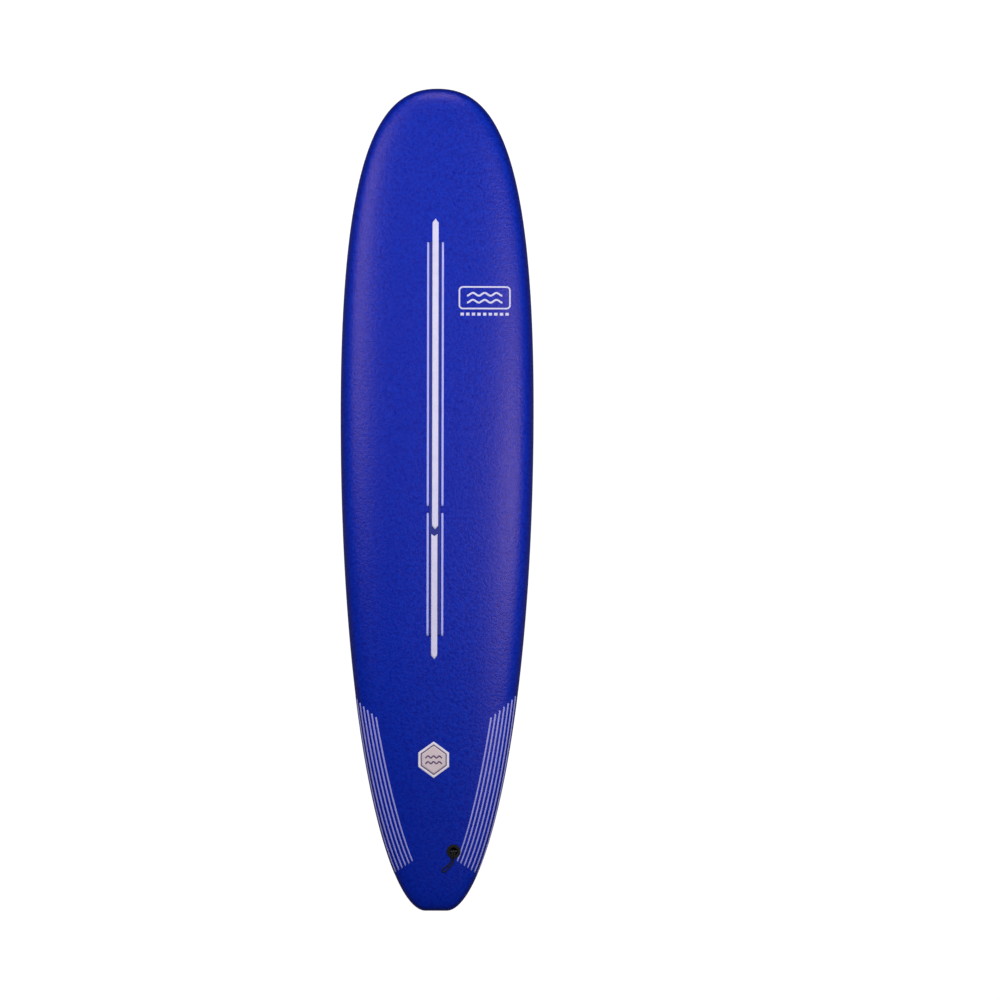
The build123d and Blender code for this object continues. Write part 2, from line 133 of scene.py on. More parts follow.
# %% The outline
def cubic(start, lead, trail, end, samples=600):
    """A Bezier curve: the four points weighed by the cubic Bernstein weights of t from 0 to 1."""
    t = np.linspace(0.0, 1.0, samples)[:, None]
    points = (1 - t) ** 3 * np.array(start) + 3 * t * (1 - t) ** 2 * np.array(lead)
    return points + 3 * t**2 * (1 - t) * np.array(trail) + t**3 * np.array(end)


HALF, TIP, WIDE = WIDTH / 2, LENGTH / 2, WIDE_POINT * LENGTH
FLAT = TAIL_FLAT * WIDTH
TAIL_CURVE = cubic(
    (FLAT, -TIP), (FLAT + TAIL_ROUND * WIDTH, -TIP), (HALF, WIDE - TAIL_FULLNESS * LENGTH), (HALF, WIDE)
)
NOSE_CURVE = cubic((HALF, WIDE), (HALF, WIDE + NOSE_FULLNESS * LENGTH), (NOSE_ROUND * WIDTH, TIP), (0.0, TIP))
OUTLINE = np.vstack([[(0.0, -TIP)], TAIL_CURVE, NOSE_CURVE[1:]])
STEPS = np.diff(OUTLINE, axis=0)
STEP_LENGTHS = np.hypot(STEPS[:, 0], STEPS[:, 1])
ARC = np.concatenate([[0.0], np.cumsum(STEP_LENGTHS)])
MIDDLES = (ARC[1:] + ARC[:-1]) / 2
HEADINGS = np.arctan2(STEPS[:, 1], STEPS[:, 0])
print("edge from tail to nose", round(ARC[-1], 3), "m")


def outline_at(share):
    """The outline's point and outward direction: the point at that share of the walked length, and the
    heading there turned a quarter turn outwards."""
    walked = np.asarray(share) * ARC[-1]
    heading = np.interp(walked, MIDDLES, HEADINGS)
    heading = np.where(walked <= MIDDLES[0], 0.0, np.where(walked >= MIDDLES[-1], math.pi, heading))
    x, y = (np.interp(walked, ARC, OUTLINE[:, i]) for i in (0, 1))
    return x, y, np.sin(heading), -np.cos(heading)


# %% Heights along the board
def away(y):
    """How far a station is from the lowest one: 0 there, rising straight to 1 at either end."""
    low = LOW_POINT * LENGTH
    return np.clip(np.where(y > low, (y - low) / (TIP - low), (low - y) / (TIP + low)), 0.0, 1.0)


def towards_tip(y, nose, tail):
    """The nose's value ahead of the lowest station and the tail's value behind it."""
    return np.where(y > LOW_POINT * LENGTH, nose, tail)


def rocker(y):
    """The bottom's height: the tip's rocker times the distance to the power of 2.6."""
    return towards_tip(y, NOSE_ROCKER, TAIL_ROCKER) * away(y) ** ROCKER_POWER


def thickness(y):
    """Full in the middle, thinner towards the tips by the distance to the power of 2.4."""
    tip = towards_tip(y, NOSE_THICKNESS, TAIL_THICKNESS)
    return THICKNESS - (THICKNESS - tip) * away(y) ** TAPER_POWER


def eased(ends, y):
    """From the middle's value to the tips' value, by the square of the distance."""
    return ends[0] + (ends[1] - ends[0]) * away(y) ** 2


print("rocker at nose and tail", [round(float(rocker(y)), 4) for y in (TIP, -TIP)])


# %% The skin: one function of two parameters
def rib(share):
    """The rib from the spine to the outline at a share of it: spine station, span, direction, reach."""
    x, y, nx, ny = outline_at(share)
    spine = SPINE_SHARE * ((1 - SPINE_FAN) * y + SPINE_FAN * LENGTH * (share - 0.5))
    span = np.hypot(x, y - spine)
    return spine, span, x / span, (y - spine) / span, nx * x + ny * (y - spine)


def section(share, place, side):
    """Distance from the spine and height of the skin. place is 0 at the rail's apex and 1 on the spine,
    and it crowds towards the rail. The deck rises by the root of a dome, and the bottom falls by the root
    of a tuck that ends where the roll ends."""
    spine, span, ux, uy, reach = rib(share)
    along = span * (1 - place**2)
    y = spine + uy * along
    inset = reach * place**2
    apex = APEX_SHARE * thickness(y)
    if side == DECK:
        rise = thickness(y) - apex
        power = 2 * eased(DECK_RADII, y) * reach / rise**2
        dome = 1 - np.clip(1 - place**2, 0.0, 1.0) ** power
        return along, rocker(y) + apex + rise * np.sqrt(dome)
    roll = apex**2 * BOTTOM_ROLL_POWER / (2 * eased(BOTTOM_RADII, y))
    tuck = 1 - np.clip(1 - inset / roll, 0.0, 1.0) ** BOTTOM_ROLL_POWER
    return along, rocker(y) + apex - apex * np.sqrt(tuck)


TINY = 1e-4


def skin(share, place, side, depth=0.0):
    """A point of the right half: the section's point moved in by the depth, square to the section.
    A negative depth stands proud. The result has x, y and z along its last axis."""
    share, place, depth = np.broadcast_arrays(*(np.asarray(v, float) for v in (share, place, depth)))
    spine, span, ux, uy, reach = rib(share)
    along, height = section(share, place, side)
    back = section(share, np.maximum(place - TINY, 0.0), side)
    ahead = section(share, np.minimum(place + TINY, 1.0), side)
    run, climb = ahead[0] - back[0], ahead[1] - back[1]
    size = np.hypot(run, climb)
    settle = 1 - place**6
    along = along - depth * settle * side * climb / size
    height = height + depth * side * run / size
    return np.stack([ux * along, spine + uy * along, height], axis=-1)


def crowded(count, crowding=0.145):
    """Shares of the outline, crowded at the tail and the nose by taking a sine off an even walk."""
    t = np.linspace(0.0, 1.0, count)
    return t - crowding * np.sin(2 * np.pi * t)


# %% Finding the rib that passes a plan point
HALVINGS = 34


def find(x, y):
    """The share and place of the skin over each plan point: the share is halved in on the rib that
    passes the point, and the place is the root of what is left of the rib beyond it."""
    reach_x = np.maximum(np.abs(x), 1e-6)
    low, high = np.zeros(np.shape(x)), np.ones(np.shape(x))
    for _ in range(HALVINGS):
        middle = (low + high) / 2
        spine, span, ux, uy, reach = rib(middle)
        ahead = (y - spine) * ux - reach_x * uy > 0
        low, high = np.where(ahead, middle, low), np.where(ahead, high, middle)
    share = (low + high) / 2
    spine, span, ux, uy, reach = rib(share)
    along = np.hypot(reach_x, y - spine)
    return share, np.sqrt(np.clip(1 - along / span, 0.0, 1.0))


print("deck height in the middle", round(float(skin(0.5, 1.0, DECK)[2]), 4))

# %% [markdown]
# ## Turning grids into pieces
#
# A grid of points is one array. Its faces are made by pairing each point with its neighbours, for the
# whole grid at once. Grids that share an edge are welded there, and edges that turn sharply are marked,
# so that smooth shading stops at them.

# %% Helpers for meshes
def grid_faces(rows, columns, wrap=False):
    """The faces of a grid: each cell's four corners in turn. wrap also joins the last row to the first."""
    index = np.arange(rows * columns).reshape(rows, columns)
    if wrap:
        index = np.vstack([index, index[:1]])
    a, b, c, d = index[:-1, :-1], index[1:, :-1], index[1:, 1:], index[:-1, 1:]
    return np.stack([a, b, c, d], axis=-1).reshape(-1, 4)


WELD, FINE_WELD = 2e-6, 1e-7
SHARP_ANGLE = 35.0


def build(name, grids, sharp=SHARP_ANGLE, weld=WELD):
    """One object from (points, faces) pairs: points in one list, welded, and sharp over an angle."""
    vertices, faces, start = [], [], 0
    for points, cells in grids:
        flat = np.asarray(points, float).reshape(-1, 3)
        vertices.append(flat)
        faces += (np.asarray(cells) + start).tolist()
        start += len(flat)
    mesh = bpy.data.meshes.new(name)
    mesh.from_pydata(np.vstack(vertices), [], faces)
    cleaned = bmesh.new()
    cleaned.from_mesh(mesh)
    bmesh.ops.remove_doubles(cleaned, verts=cleaned.verts, dist=weld)
    bmesh.ops.dissolve_degenerate(cleaned, edges=cleaned.edges, dist=WELD / 4)
    bmesh.ops.recalc_face_normals(cleaned, faces=cleaned.faces)
    cleaned.to_mesh(mesh)
    cleaned.free()
    return add_object(name, mesh, sharp)


def add_object(name, mesh, sharp):
    """An object at the origin that rides on the board."""
    mesh.polygons.foreach_set("use_smooth", np.ones(len(mesh.polygons), bool))
    mesh.set_sharp_from_angle(angle=math.radians(sharp))
    piece = bpy.data.objects.new(name, mesh)
    bpy.context.collection.objects.link(piece)
    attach(piece, BOARD)
    return piece


def closed_tube(rings):
    """A tube from an array of rings, its points round a ring first and the rings along it second. A flat
    face closes each end."""
    sides, count = rings.shape[:2]
    cap = [list(range(sides))]
    return [(rings, grid_faces(sides, count, wrap=True)), (rings[:, 0], cap), (rings[:, -1], cap)]


def cut(piece, cutter):
    """Takes a closed cutter away from a closed piece for good, marks the sharp edges anew, and deletes the
    cutter."""
    modifier = piece.modifiers.new("cut", "BOOLEAN")
    modifier.object = cutter
    modifier.solver = "EXACT"
    graph = bpy.context.evaluated_depsgraph_get()
    mesh = bpy.data.meshes.new_from_object(piece.evaluated_get(graph))
    piece.modifiers.clear()
    piece.data = mesh
    piece.data.set_sharp_from_angle(angle=math.radians(SHARP_ANGLE))
    bpy.data.objects.remove(cutter)


def triangles(piece):
    """How many triangles the piece's faces make."""
    return sum(len(face.vertices) - 2 for face in piece.data.polygons)


# %% [markdown]
# ## Frames for the inserts
#
# The leash plug and the fin boxes stand in the skin at a slant. The record's mounts say where each one is
# and which way it points, so each gets a frame: an origin, a way right, a way forward and a way out.

# %% Frames from the mounts
MOUNTS = {mount["name"]: mount for mount in frame["record"]["mounts"]}


def unit(vector):
    """The vector over its length."""
    return np.asarray(vector) / np.linalg.norm(vector)


def frame_of(origin, out, forward):
    """An origin and three directions: forward made square to out, and right made square to both."""
    out = unit(out)
    forward = unit(np.asarray(forward) - np.dot(forward, out) * out)
    return np.asarray(origin), np.cross(forward, out), forward, out


def into(place, points):
    """Points given as right, forward and out in a frame, moved into the board's frame."""
    origin, right, forward, out = place
    points = np.asarray(points, float)
    return origin + points[..., :1] * right + points[..., 1:2] * forward + points[..., 2:] * out


PIN_DEPTH = 0.007
pin_mount = MOUNTS["leash_pin"]
plug_origin = np.array(pin_mount["pos_m"]) + PIN_DEPTH * unit(pin_mount["axis"])
PLUG = frame_of(plug_origin, pin_mount["axis"], (0.0, 1.0, 0.0))


def fin_frame(name):
    """A fin box's frame: from the middle of its face, forward along the line of its two pockets."""
    face = MOUNTS[f"fin_box_face_{name}"]
    front = np.array(MOUNTS[f"fin_tab_{name}_front"]["pos_m"])
    rear = np.array(MOUNTS[f"fin_tab_{name}_rear"]["pos_m"])
    return frame_of(face["pos_m"], face["axis"], front - rear)


FIN_FRAMES = {name: fin_frame(name) for name in ("centre", "left", "right")}
print("plug at", PLUG[0].round(4))
print("fin boxes at", {name: place[0].round(3).tolist() for name, place in FIN_FRAMES.items()})

# %% [markdown]
# ## The leash string
#
# A short loop of braided cord is tied through the plug. Its route is a smooth spline through a few
# given control points: out of the cup, over the flange and round a loose loop on the deck. The
# braid is two families of strands that wind opposite ways round that line, like a maypole's ribbons.

# %% The string's line
STRING_DIAMETER, STRING_CUT = 0.004, 0.157
STRING_POINTS = [
    (0.0488, -1.0422, 0.0866),
    (0.0484, -1.0452, 0.0926),
    (0.0478, -1.0532, 0.0972),
    (0.0466, -1.0627, 0.0971),
    (0.0450, -1.0724, 0.0941),
    (0.0381, -1.0803, 0.0943),
    (0.0290, -1.0868, 0.0945),
    (0.0202, -1.0922, 0.0947),
    (0.0172, -1.0996, 0.0949),
    (0.0240, -1.1042, 0.0949),
    (0.0314, -1.0976, 0.0947),
    (0.0392, -1.0890, 0.0944),
    (0.0474, -1.0808, 0.0940),
    (0.0520, -1.0718, 0.0938),
    (0.0538, -1.0618, 0.0968),
    (0.0544, -1.0526, 0.0970),
    (0.0550, -1.0450, 0.0924),
    (0.0552, -1.0419, 0.0864),
]
route = bpy.data.curves.new("string_route", "CURVE")
route.dimensions = "3D"
route.resolution_u = 24
spline = route.splines.new("NURBS")
spline.points.add(len(STRING_POINTS) - 1)
for point, place in zip(spline.points, STRING_POINTS):
    point.co = (*place, 1.0)
spline.order_u = 3
spline.use_endpoint_u = True
route_object = bpy.data.objects.new("string_route", route)
route_mesh = bpy.data.meshes.new_from_object(route_object)
line = np.array([vertex.co for vertex in route_mesh.vertices])
bpy.data.objects.remove(route_object)
STRING_LENGTH = float(np.linalg.norm(np.diff(line, axis=0), axis=1).sum())
print("string length", round(STRING_LENGTH, 4), "m from", len(line), "points")


# %% The string's braid
def walk(line, count):
    """The same line with evenly spaced points, its directions and the distance walked to each point."""
    walked = np.concatenate([[0.0], np.cumsum(np.linalg.norm(np.diff(line, axis=0), axis=1))])
    even = np.linspace(0.0, walked[-1], count)
    points = np.stack([np.interp(even, walked, line[:, i]) for i in range(3)], axis=1)
    ahead = np.gradient(points, axis=0)
    return points, ahead / np.linalg.norm(ahead, axis=1)[:, None], even


LEAN = np.array([0.35, 0.1, 1.0])


def carried_frames(ahead):
    """Two directions square to a line: one leaning way has its share along the line taken off at each
    point, and the other is square to both. The route never runs along the leaning way."""
    up = LEAN - (ahead @ LEAN)[:, None] * ahead
    up /= np.linalg.norm(up, axis=1)[:, None]
    return up, np.cross(ahead, up)


STRANDS = 8
LAY_LENGTH = 0.010
STRAND_RADIUS = 0.00052
STRAND_SIDES, STRAND_FLATNESS = 6, 1.75
WEAVE_MIDDLE, WEAVE_SWING = 1.06, 0.12
LINE_STEPS = 520
line_points, line_ahead, line_walked = walk(line, LINE_STEPS)
line_up, line_side = carried_frames(line_ahead)


def strand(start, way):
    """One strand: a small tube whose middle winds round the line, and dips in and out where it passes
    under and over the strands that wind the other way."""
    turn = start + way * 2 * np.pi * line_walked / LAY_LENGTH
    weave = np.cos(STRANDS / 2 * (way * (turn - start) * 2 + start * way))
    out = STRING_DIAMETER / 2 - STRAND_RADIUS * (WEAVE_MIDDLE - WEAVE_SWING * weave)
    spoke = np.cos(turn)[:, None] * line_up + np.sin(turn)[:, None] * line_side
    middle = line_points + out[:, None] * spoke
    ahead = np.gradient(middle, axis=0)
    ahead /= np.linalg.norm(ahead, axis=1)[:, None]
    side = np.cross(ahead, spoke)
    around = np.linspace(0.0, 2 * np.pi, STRAND_SIDES + 1)[:-1]
    wide = STRAND_FLATNESS * STRAND_RADIUS * np.cos(around)[:, None, None] * side
    high = STRAND_RADIUS * np.sin(around)[:, None, None] * np.cross(side, ahead)
    return closed_tube(middle + wide + high)


CORE_SIDES, CORE_RADIUS = 10, 0.00165
BRAID_SHARP_ANGLE = 80.0
braid = []
for k in range(STRANDS // 2):
    for way in (1, -1):
        braid += strand(2 * np.pi * k / (STRANDS // 2), way)
around = np.linspace(0.0, 2 * np.pi, CORE_SIDES + 1)[:-1, None, None]
braid += closed_tube(line_points + CORE_RADIUS * (np.cos(around) * line_up + np.sin(around) * line_side))
string = build("leash_string_braid", braid, sharp=BRAID_SHARP_ANGLE, weld=FINE_WELD)
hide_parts("leash_string")
print("string", triangles(string), "triangles")

# %% [markdown]
# ## The foam deck
#
# The deck is a 5 mm sheet of closed-cell foam, wrapped from one rail to the other. It is a closed shell:
# the grid runs in under the foam from the centre line, round the cut edge at the rail, and back over the
# top. The cut edge is rounded by 0.7 mm, so that the seam shows as a fine line.

# %% The deck skin
DECK_FOAM = 0.005
EDGE_ROUND = 0.0007
DECK_RIBS = 220
OUTER_PLACES = np.concatenate([[0.012, 0.03], np.linspace(0.05, 1.0, 46)])
INNER_PLACES = np.linspace(0.012, 1.0, 26)
EDGE = [(0.004, EDGE_ROUND), (0.004, 0.3 * EDGE_ROUND), (0.007, 0.06 * EDGE_ROUND)]


def mirrored(points):
    """The same points on the other side of the centre line."""
    return points * np.array([-1.0, 1.0, 1.0])


def two_halves(name, half):
    """A grid of the right half and its mirror image, welded on the centre line."""
    faces = grid_faces(*half.shape[:2])
    return build(name, [(half, faces), (mirrored(half), faces)])


deck_profile = [(s, DECK_FOAM) for s in INNER_PLACES[::-1]] + EDGE + [(s, 0.0) for s in OUTER_PLACES]
deck_places, deck_depths = (np.array(column)[:, None] for column in zip(*deck_profile))
deck = two_halves("deck_foam", skin(crowded(DECK_RIBS)[None, :], deck_places, DECK, deck_depths))
print("deck", triangles(deck), "triangles")


# %% The hole for the leash plug
def revolved(place, profile, sides=96):
    """A profile of (radius, height) pairs turned round a frame's outward axis. A radius of 0 at an end
    makes a pole that closes the shape."""
    radii, heights = (np.array(column)[:, None] for column in zip(*profile))
    turn = np.linspace(0.0, 2 * np.pi, sides + 1)[None, :]
    local = np.stack([radii * np.cos(turn), radii * np.sin(turn), heights + 0 * turn], axis=-1)
    return into(place, local), grid_faces(len(profile), sides + 1)


FLANGE_RADIUS = 0.021
FIT = 0.0002
HOLE_REACH = 0.02
hole_radius = FLANGE_RADIUS + FIT
hole = revolved(
    PLUG, [(0, HOLE_REACH), (hole_radius, HOLE_REACH), (hole_radius, -HOLE_REACH), (0, -HOLE_REACH)]
)
cut(deck, build("plug_hole", [hole]))
# Painted shade at the deck's rails: full from the rail's apex out to this first place on the rib, gone by the
# second.
RAIL_SHADE_PLACES = (0.13, 0.30)


def mark_rail_shade(piece):
    """A mask for the painted shade near the deck's rails: an attribute that is 1 at the rails and fades to 0
    further in, the place on the rib eased from one value to another."""
    corners = np.empty(3 * len(piece.data.vertices))
    piece.data.vertices.foreach_get("co", corners)
    x, y, _ = corners.reshape(-1, 3).T
    share, place = find(x, y)
    near = np.clip((RAIL_SHADE_PLACES[1] - place) / (RAIL_SHADE_PLACES[1] - RAIL_SHADE_PLACES[0]), 0.0, 1.0)
    layer = piece.data.attributes.new("rail", "FLOAT", "POINT")
    layer.data.foreach_set("value", near * near * (3 - 2 * near))


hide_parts("deck_skin")
mark_rail_shade(deck)
print("deck with its hole", triangles(deck), "triangles")

# %% [markdown]
# ## The rail strips
#
# A strip of teal foam is wrapped round each rail, from the deck's edge at the apex to a seam 13 mm in
# under the board, where the slick begins. Both edges are rounded over, which leaves the fine groove that
# a welded seam shows.

# %% The rails
SEAM_INSET = 0.013
SEAM_GAP = 0.0004
RAIL_RIBS = 220
OUTWARD_STEPS, RETURN_STEPS = np.linspace(0.03, 0.985, 22), np.linspace(0.95, 0.08, 10)


def at_inset(shares, inset):
    """The place on each rib at a distance in from the outline: the root of inset over reach."""
    return np.sqrt(inset / rib(shares)[4])


def rail_strip(name, flip):
    """A closed strip: a ring of (place, depth) points that runs out over the skin and back 5 mm under it."""
    shares = crowded(RAIL_RIBS)
    last = at_inset(shares, SEAM_INSET - SEAM_GAP / 2)
    apex_edge = [(EDGE[0][0], DECK_FOAM)] + EDGE
    places = [place + 0 * last for place, depth in apex_edge] + [step * last for step in OUTWARD_STEPS]
    depths = [depth for place, depth in apex_edge] + [0.0] * len(OUTWARD_STEPS)
    places += [0.995 * last, last, last] + [step * last for step in RETURN_STEPS]
    depths += [0.1 * EDGE_ROUND, 0.7 * EDGE_ROUND, DECK_FOAM] + [DECK_FOAM] * len(RETURN_STEPS)
    points = skin(shares[None, :], np.array(places), BOTTOM, np.array(depths)[:, None])
    return build(name, closed_tube(mirrored(points) if flip else points))


rails = []
for side_name, flip in (("right", False), ("left", True)):
    rail = rail_strip(f"rail_foam_{side_name}", flip)
    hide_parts(f"rail_skin_{side_name}")
    rails.append(rail)
print("rails", [triangles(rail) for rail in rails], "triangles")

# %% [markdown]
# ## The slick bottom
#
# The bottom is one 1.2 mm sheet of tough yellow plastic, heat-welded to the foam. A welded sheet is never
# quite flat: it follows the foam's grain in long, very shallow waves that show only in a reflection. The
# sheet is made as the deck is, and three rounded holes are cut for the fin boxes.

# %% The slick sheet
SLICK = 0.0012
SLICK_EDGE = 0.00035
SLICK_RIBS = 200
WAVE_HEIGHT = 0.00012
EDGE_STEPS = [0.0, 0.0, 0.002, 0.012]
EDGE_DEPTHS = [1.4 * SLICK_EDGE, 0.4 * SLICK_EDGE, 0.08 * SLICK_EDGE]


def shallow_wave(x, y):
    """A height from -1 to 1: a sine across the board times a sine along it, whose phases wander by a sine
    and a cosine of the other direction."""
    across = np.sin(31 * x + 2 * np.sin(5 * y))
    return across * np.sin(17 * y + 1.5 * np.cos(9 * x))


slick_shares = crowded(SLICK_RIBS)
slick_start = at_inset(slick_shares, SEAM_INSET + SEAM_GAP / 2)
inward = np.concatenate([EDGE_STEPS, np.linspace(0.04, 1.0, 44)])[:, None]
outer = slick_start + (1 - slick_start) * inward
outer_depth = np.concatenate([EDGE_DEPTHS, np.zeros(len(inward) - len(EDGE_DEPTHS))])[:, None]
flat_points = skin(slick_shares[None, :], outer, BOTTOM)
wave = shallow_wave(flat_points[..., 0], flat_points[..., 1])
fade = np.clip((outer - slick_start) * 6, 0.0, 1.0) * np.clip((1 - outer) * 9, 0.0, 1.0)
outer_depth = outer_depth + WAVE_HEIGHT * (0.5 + 0.5 * wave) * fade
inner = slick_start + (1 - slick_start) * np.linspace(1.0, 0.0, 22)[:, None]
slick_half = skin(
    slick_shares[None, :],
    np.vstack([inner, outer]),
    BOTTOM,
    np.vstack([SLICK + 0 * inner, outer_depth]),
)
slick = two_halves("slick_sheet", slick_half)
print("slick", triangles(slick), "triangles")


# %% The holes for the fin boxes
def rounded_rectangle(length, width, corner, arc_steps=10):
    """The outline of a rounded rectangle, round from one corner to the next: forward is its length."""
    turn = np.linspace(0.0, np.pi / 2, arc_steps)
    arcs = []
    for quarter, (sx, sy) in enumerate(((1, 1), (-1, 1), (-1, -1), (1, -1))):
        angle = turn + quarter * np.pi / 2
        middle = np.array([sx * (width / 2 - corner), sy * (length / 2 - corner)])
        arcs.append(middle + corner * np.stack([np.cos(angle), np.sin(angle)], axis=1))
    return np.vstack(arcs)


def prism(place, outline, heights):
    """An outline set at each height of a frame, joined one to the next and closed at both ends."""
    rings = [into(place, np.column_stack([outline, np.full(len(outline), height)])) for height in heights]
    return closed_tube(np.stack(rings, axis=1))


BOX_LENGTH, BOX_WIDTH, BOX_CORNER = 0.156, 0.038, 0.009
BOX_HOLE_HEIGHTS = (0.010, -0.011)
hole_outline = rounded_rectangle(BOX_LENGTH + 2 * FIT, BOX_WIDTH + 2 * FIT, BOX_CORNER + FIT)
for name, place in FIN_FRAMES.items():
    cut(slick, build(f"fin_hole_{name}", prism(place, hole_outline, BOX_HOLE_HEIGHTS)))
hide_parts("bottom_slick")
print("slick with its holes", triangles(slick), "triangles")

# %% [markdown]
# ## Laying a print on the board
#
# The bars, lines and badges are printed on the foam and on the slick. A print is drawn flat, as points on
# the plan, and each point is then dropped on the skin. To drop a point, the rib that passes under it is
# found by halving: a point behind the rib is nearer the tail, and a point ahead of it is nearer the nose.

# %% Dropping a plan point on the skin
PRINT_LIFT = 0.00016
PRINT_THICKNESS = 0.00022


def drop(x, y, side, lift=PRINT_LIFT):
    """Plan points dropped on the skin, a hair proud of it."""
    x, y = np.broadcast_arrays(np.asarray(x, float), np.asarray(y, float))
    share, place = find(x, y)
    points = skin(share, place, side, -lift)
    points[..., 0] = np.where(x < 0, -points[..., 0], points[..., 0])
    return points


check_x, check_y = np.array([0.12, -0.2, 0.02]), np.array([0.4, -0.9, -1.0])
drop_error = np.abs(drop(check_x, check_y, DECK, 0.0)[:, :2] - np.column_stack([check_x, check_y])).max()
print("largest miss of a dropped point", drop_error)


def print_piece(name, grids, side):
    """A print as a thin closed film: its face looks out of the board, and the film's body reaches in."""
    piece = build(name, grids, weld=FINE_WELD)
    normals = np.empty(3 * len(piece.data.polygons))
    piece.data.polygons.foreach_get("normal", normals)
    if normals[2::3].sum() * side < 0:
        piece.data.flip_normals()
    film = piece.modifiers.new("film", "SOLIDIFY")
    film.thickness = PRINT_THICKNESS
    film.offset = -1.0
    return piece


# %% [markdown]
# ## The long bars
#
# A white bar with pointed ends runs down the middle of the deck, with a shorter one behind it, and a fine
# line each side of both. Each is a strip whose two ends are pulled to a point, or notched, by how far a
# point is from the strip's middle.

# %% Bars on the deck
BAR_STEP = 0.008


def bar(centre, width, nose, tail, nose_point, tail_point, side=DECK, columns=9, lift=PRINT_LIFT):
    """A strip along the board: across runs from -1 to 1, and each end is moved back from its tip by its
    point's length times the distance from the middle. A negative length makes a notch."""
    across = np.linspace(-1.0, 1.0, columns)[:, None]
    rows = max(int((nose - tail) / BAR_STEP), 6)
    down = np.linspace(0.0, 1.0, rows)[None, :]
    top = nose - nose_point * np.abs(across)
    end = tail + tail_point * np.abs(across)
    x = centre + across * width / 2 + 0 * down
    y = top + (end - top) * down
    return drop(x, y, side, lift), grid_faces(columns, rows)


PRINT_CENTRE = -0.0050
BAR_WIDTH = 0.0182
POINT, BLUNT_POINT, NOTCH = 0.0115, 0.0100, 0.0065
FRONT_BAR, REAR_BAR, REAR_SHIFT = (0.835, -0.086), (-0.1065, -0.472), 0.002
main_bars = print_piece(
    "print_main_bars",
    [
        bar(PRINT_CENTRE, BAR_WIDTH, *FRONT_BAR, POINT, BLUNT_POINT),
        bar(PRINT_CENTRE - REAR_SHIFT, BAR_WIDTH, *REAR_BAR, -NOTCH, POINT),
    ],
    DECK,
)
SIDE_LINE_WIDTH, SIDE_LINE_OFFSET, SIDE_LINE_POINT = 0.0062, 0.0218, 0.002
SIDE_LINE_RUNS = ((0.766, -0.0175), (-0.037, -0.403))
side_line_grids = []
for way in (-1, 1):
    centre = PRINT_CENTRE + way * SIDE_LINE_OFFSET
    for run in SIDE_LINE_RUNS:
        ends = (*run, SIDE_LINE_POINT, SIDE_LINE_POINT)
        side_line_grids.append(bar(centre, SIDE_LINE_WIDTH, *ends, columns=5))
side_lines = print_piece("print_side_lines", side_line_grids, DECK)
# Painted shadow: a darker navy band laid under the bars and out past their edges, as their shade on the deck.
BAND_RUN, BAND_WIDTH, BAND_POINT, BAND_SHIFT = (0.772, -0.408), 0.0330, 0.004, 0.001
BAND_LIFT = 0.5 * PRINT_LIFT
band_grid = bar(
    PRINT_CENTRE - BAND_SHIFT, BAND_WIDTH, *BAND_RUN, BAND_POINT, BAND_POINT, columns=13, lift=BAND_LIFT
)
shadow_band = print_piece("painted_shade_band", [band_grid], DECK)
print("bars", triangles(main_bars), "and side lines", triangles(side_lines), "triangles")

# %% [markdown]
# ## The pinstripes
#
# Seven fine stripes follow each rail at the tail. They keep an even distance from each other along the
# foam, not on the plan, so the outer ones lie on the round of the rail. The distance along the foam is
# added up rib by rib, and the place on each rib at a given distance is read back from it.

# %% Pinstripes along the rails
STRIPE_WIDTH = 0.0052
STRIPE_POINTS = 70
STRIPE_HALVINGS = 16
FINE_PLACES = np.linspace(0.0, 0.9, 240)[:, None]


def place_at(shares, distance):
    """The place on each rib at a distance along the foam from the rail's apex: the distances of fine
    steps are added up, and the step that passes the wanted one is shared out."""
    points = skin(shares[None, :], FINE_PLACES, DECK)
    walked = np.cumsum(np.linalg.norm(np.diff(points, axis=0), axis=2), axis=0)
    walked = np.vstack([np.zeros((1, len(shares))), walked])
    after = np.clip((walked < distance).sum(axis=0), 1, len(walked) - 1)
    column = np.arange(len(shares))
    low, high = walked[after - 1, column], walked[after, column]
    part = (distance - low) / (high - low)
    steps = FINE_PLACES[:, 0]
    return steps[after - 1] + part * (steps[after] - steps[after - 1])


def share_at(y, distance):
    """The share of the outline whose rib has the station y at a distance from the apex, by halving."""
    low, high = np.zeros(1), np.full(1, 0.5)
    for _ in range(STRIPE_HALVINGS):
        middle = (low + high) / 2
        behind = skin(middle, place_at(middle, distance), DECK)[:, 1] < y
        low, high = np.where(behind, middle, low), np.where(behind, high, middle)
    return float(low[0])


def pinstripe(near, far, nose, tail, flip):
    """One stripe between two stations: its distance from the apex goes from one value at its nose end to
    another at its tail end."""
    shares = np.linspace(share_at(tail, far), share_at(nose, near), STRIPE_POINTS)
    middle = np.linspace(far, near, len(shares))
    across = (-1.0, -0.5, 0.0, 0.5, 1.0)
    rows = [place_at(shares, middle + offset * STRIPE_WIDTH / 2) for offset in across]
    points = skin(shares[None, :], np.array(rows), DECK, -PRINT_LIFT)
    return (mirrored(points) if flip else points), grid_faces(len(across), len(shares))


STRIPES = 7
NOSE_END, NOSE_STEP = -0.582, 0.0104
TAIL_END, TAIL_STEP = -1.111, 0.0066
STRIPE_SETS = (
    {"flip": False, "near": (0.0186, 0.0122), "far": (0.0073, 0.0150)},
    {"flip": True, "near": (0.0014, 0.0121), "far": (0.0008, 0.0147)},
)
stripe_grids = []
for stripe_set in STRIPE_SETS:
    for k in range(STRIPES):
        near, far = (first + k * pitch for first, pitch in (stripe_set["near"], stripe_set["far"]))
        nose_end = NOSE_END - NOSE_STEP * k
        tail_end = TAIL_END + TAIL_STEP * k
        stripe_grids.append(pinstripe(near, far, nose_end, tail_end, stripe_set["flip"]))
pinstripes = print_piece("print_pinstripes", stripe_grids, DECK)
print("pinstripes", triangles(pinstripes), "triangles")

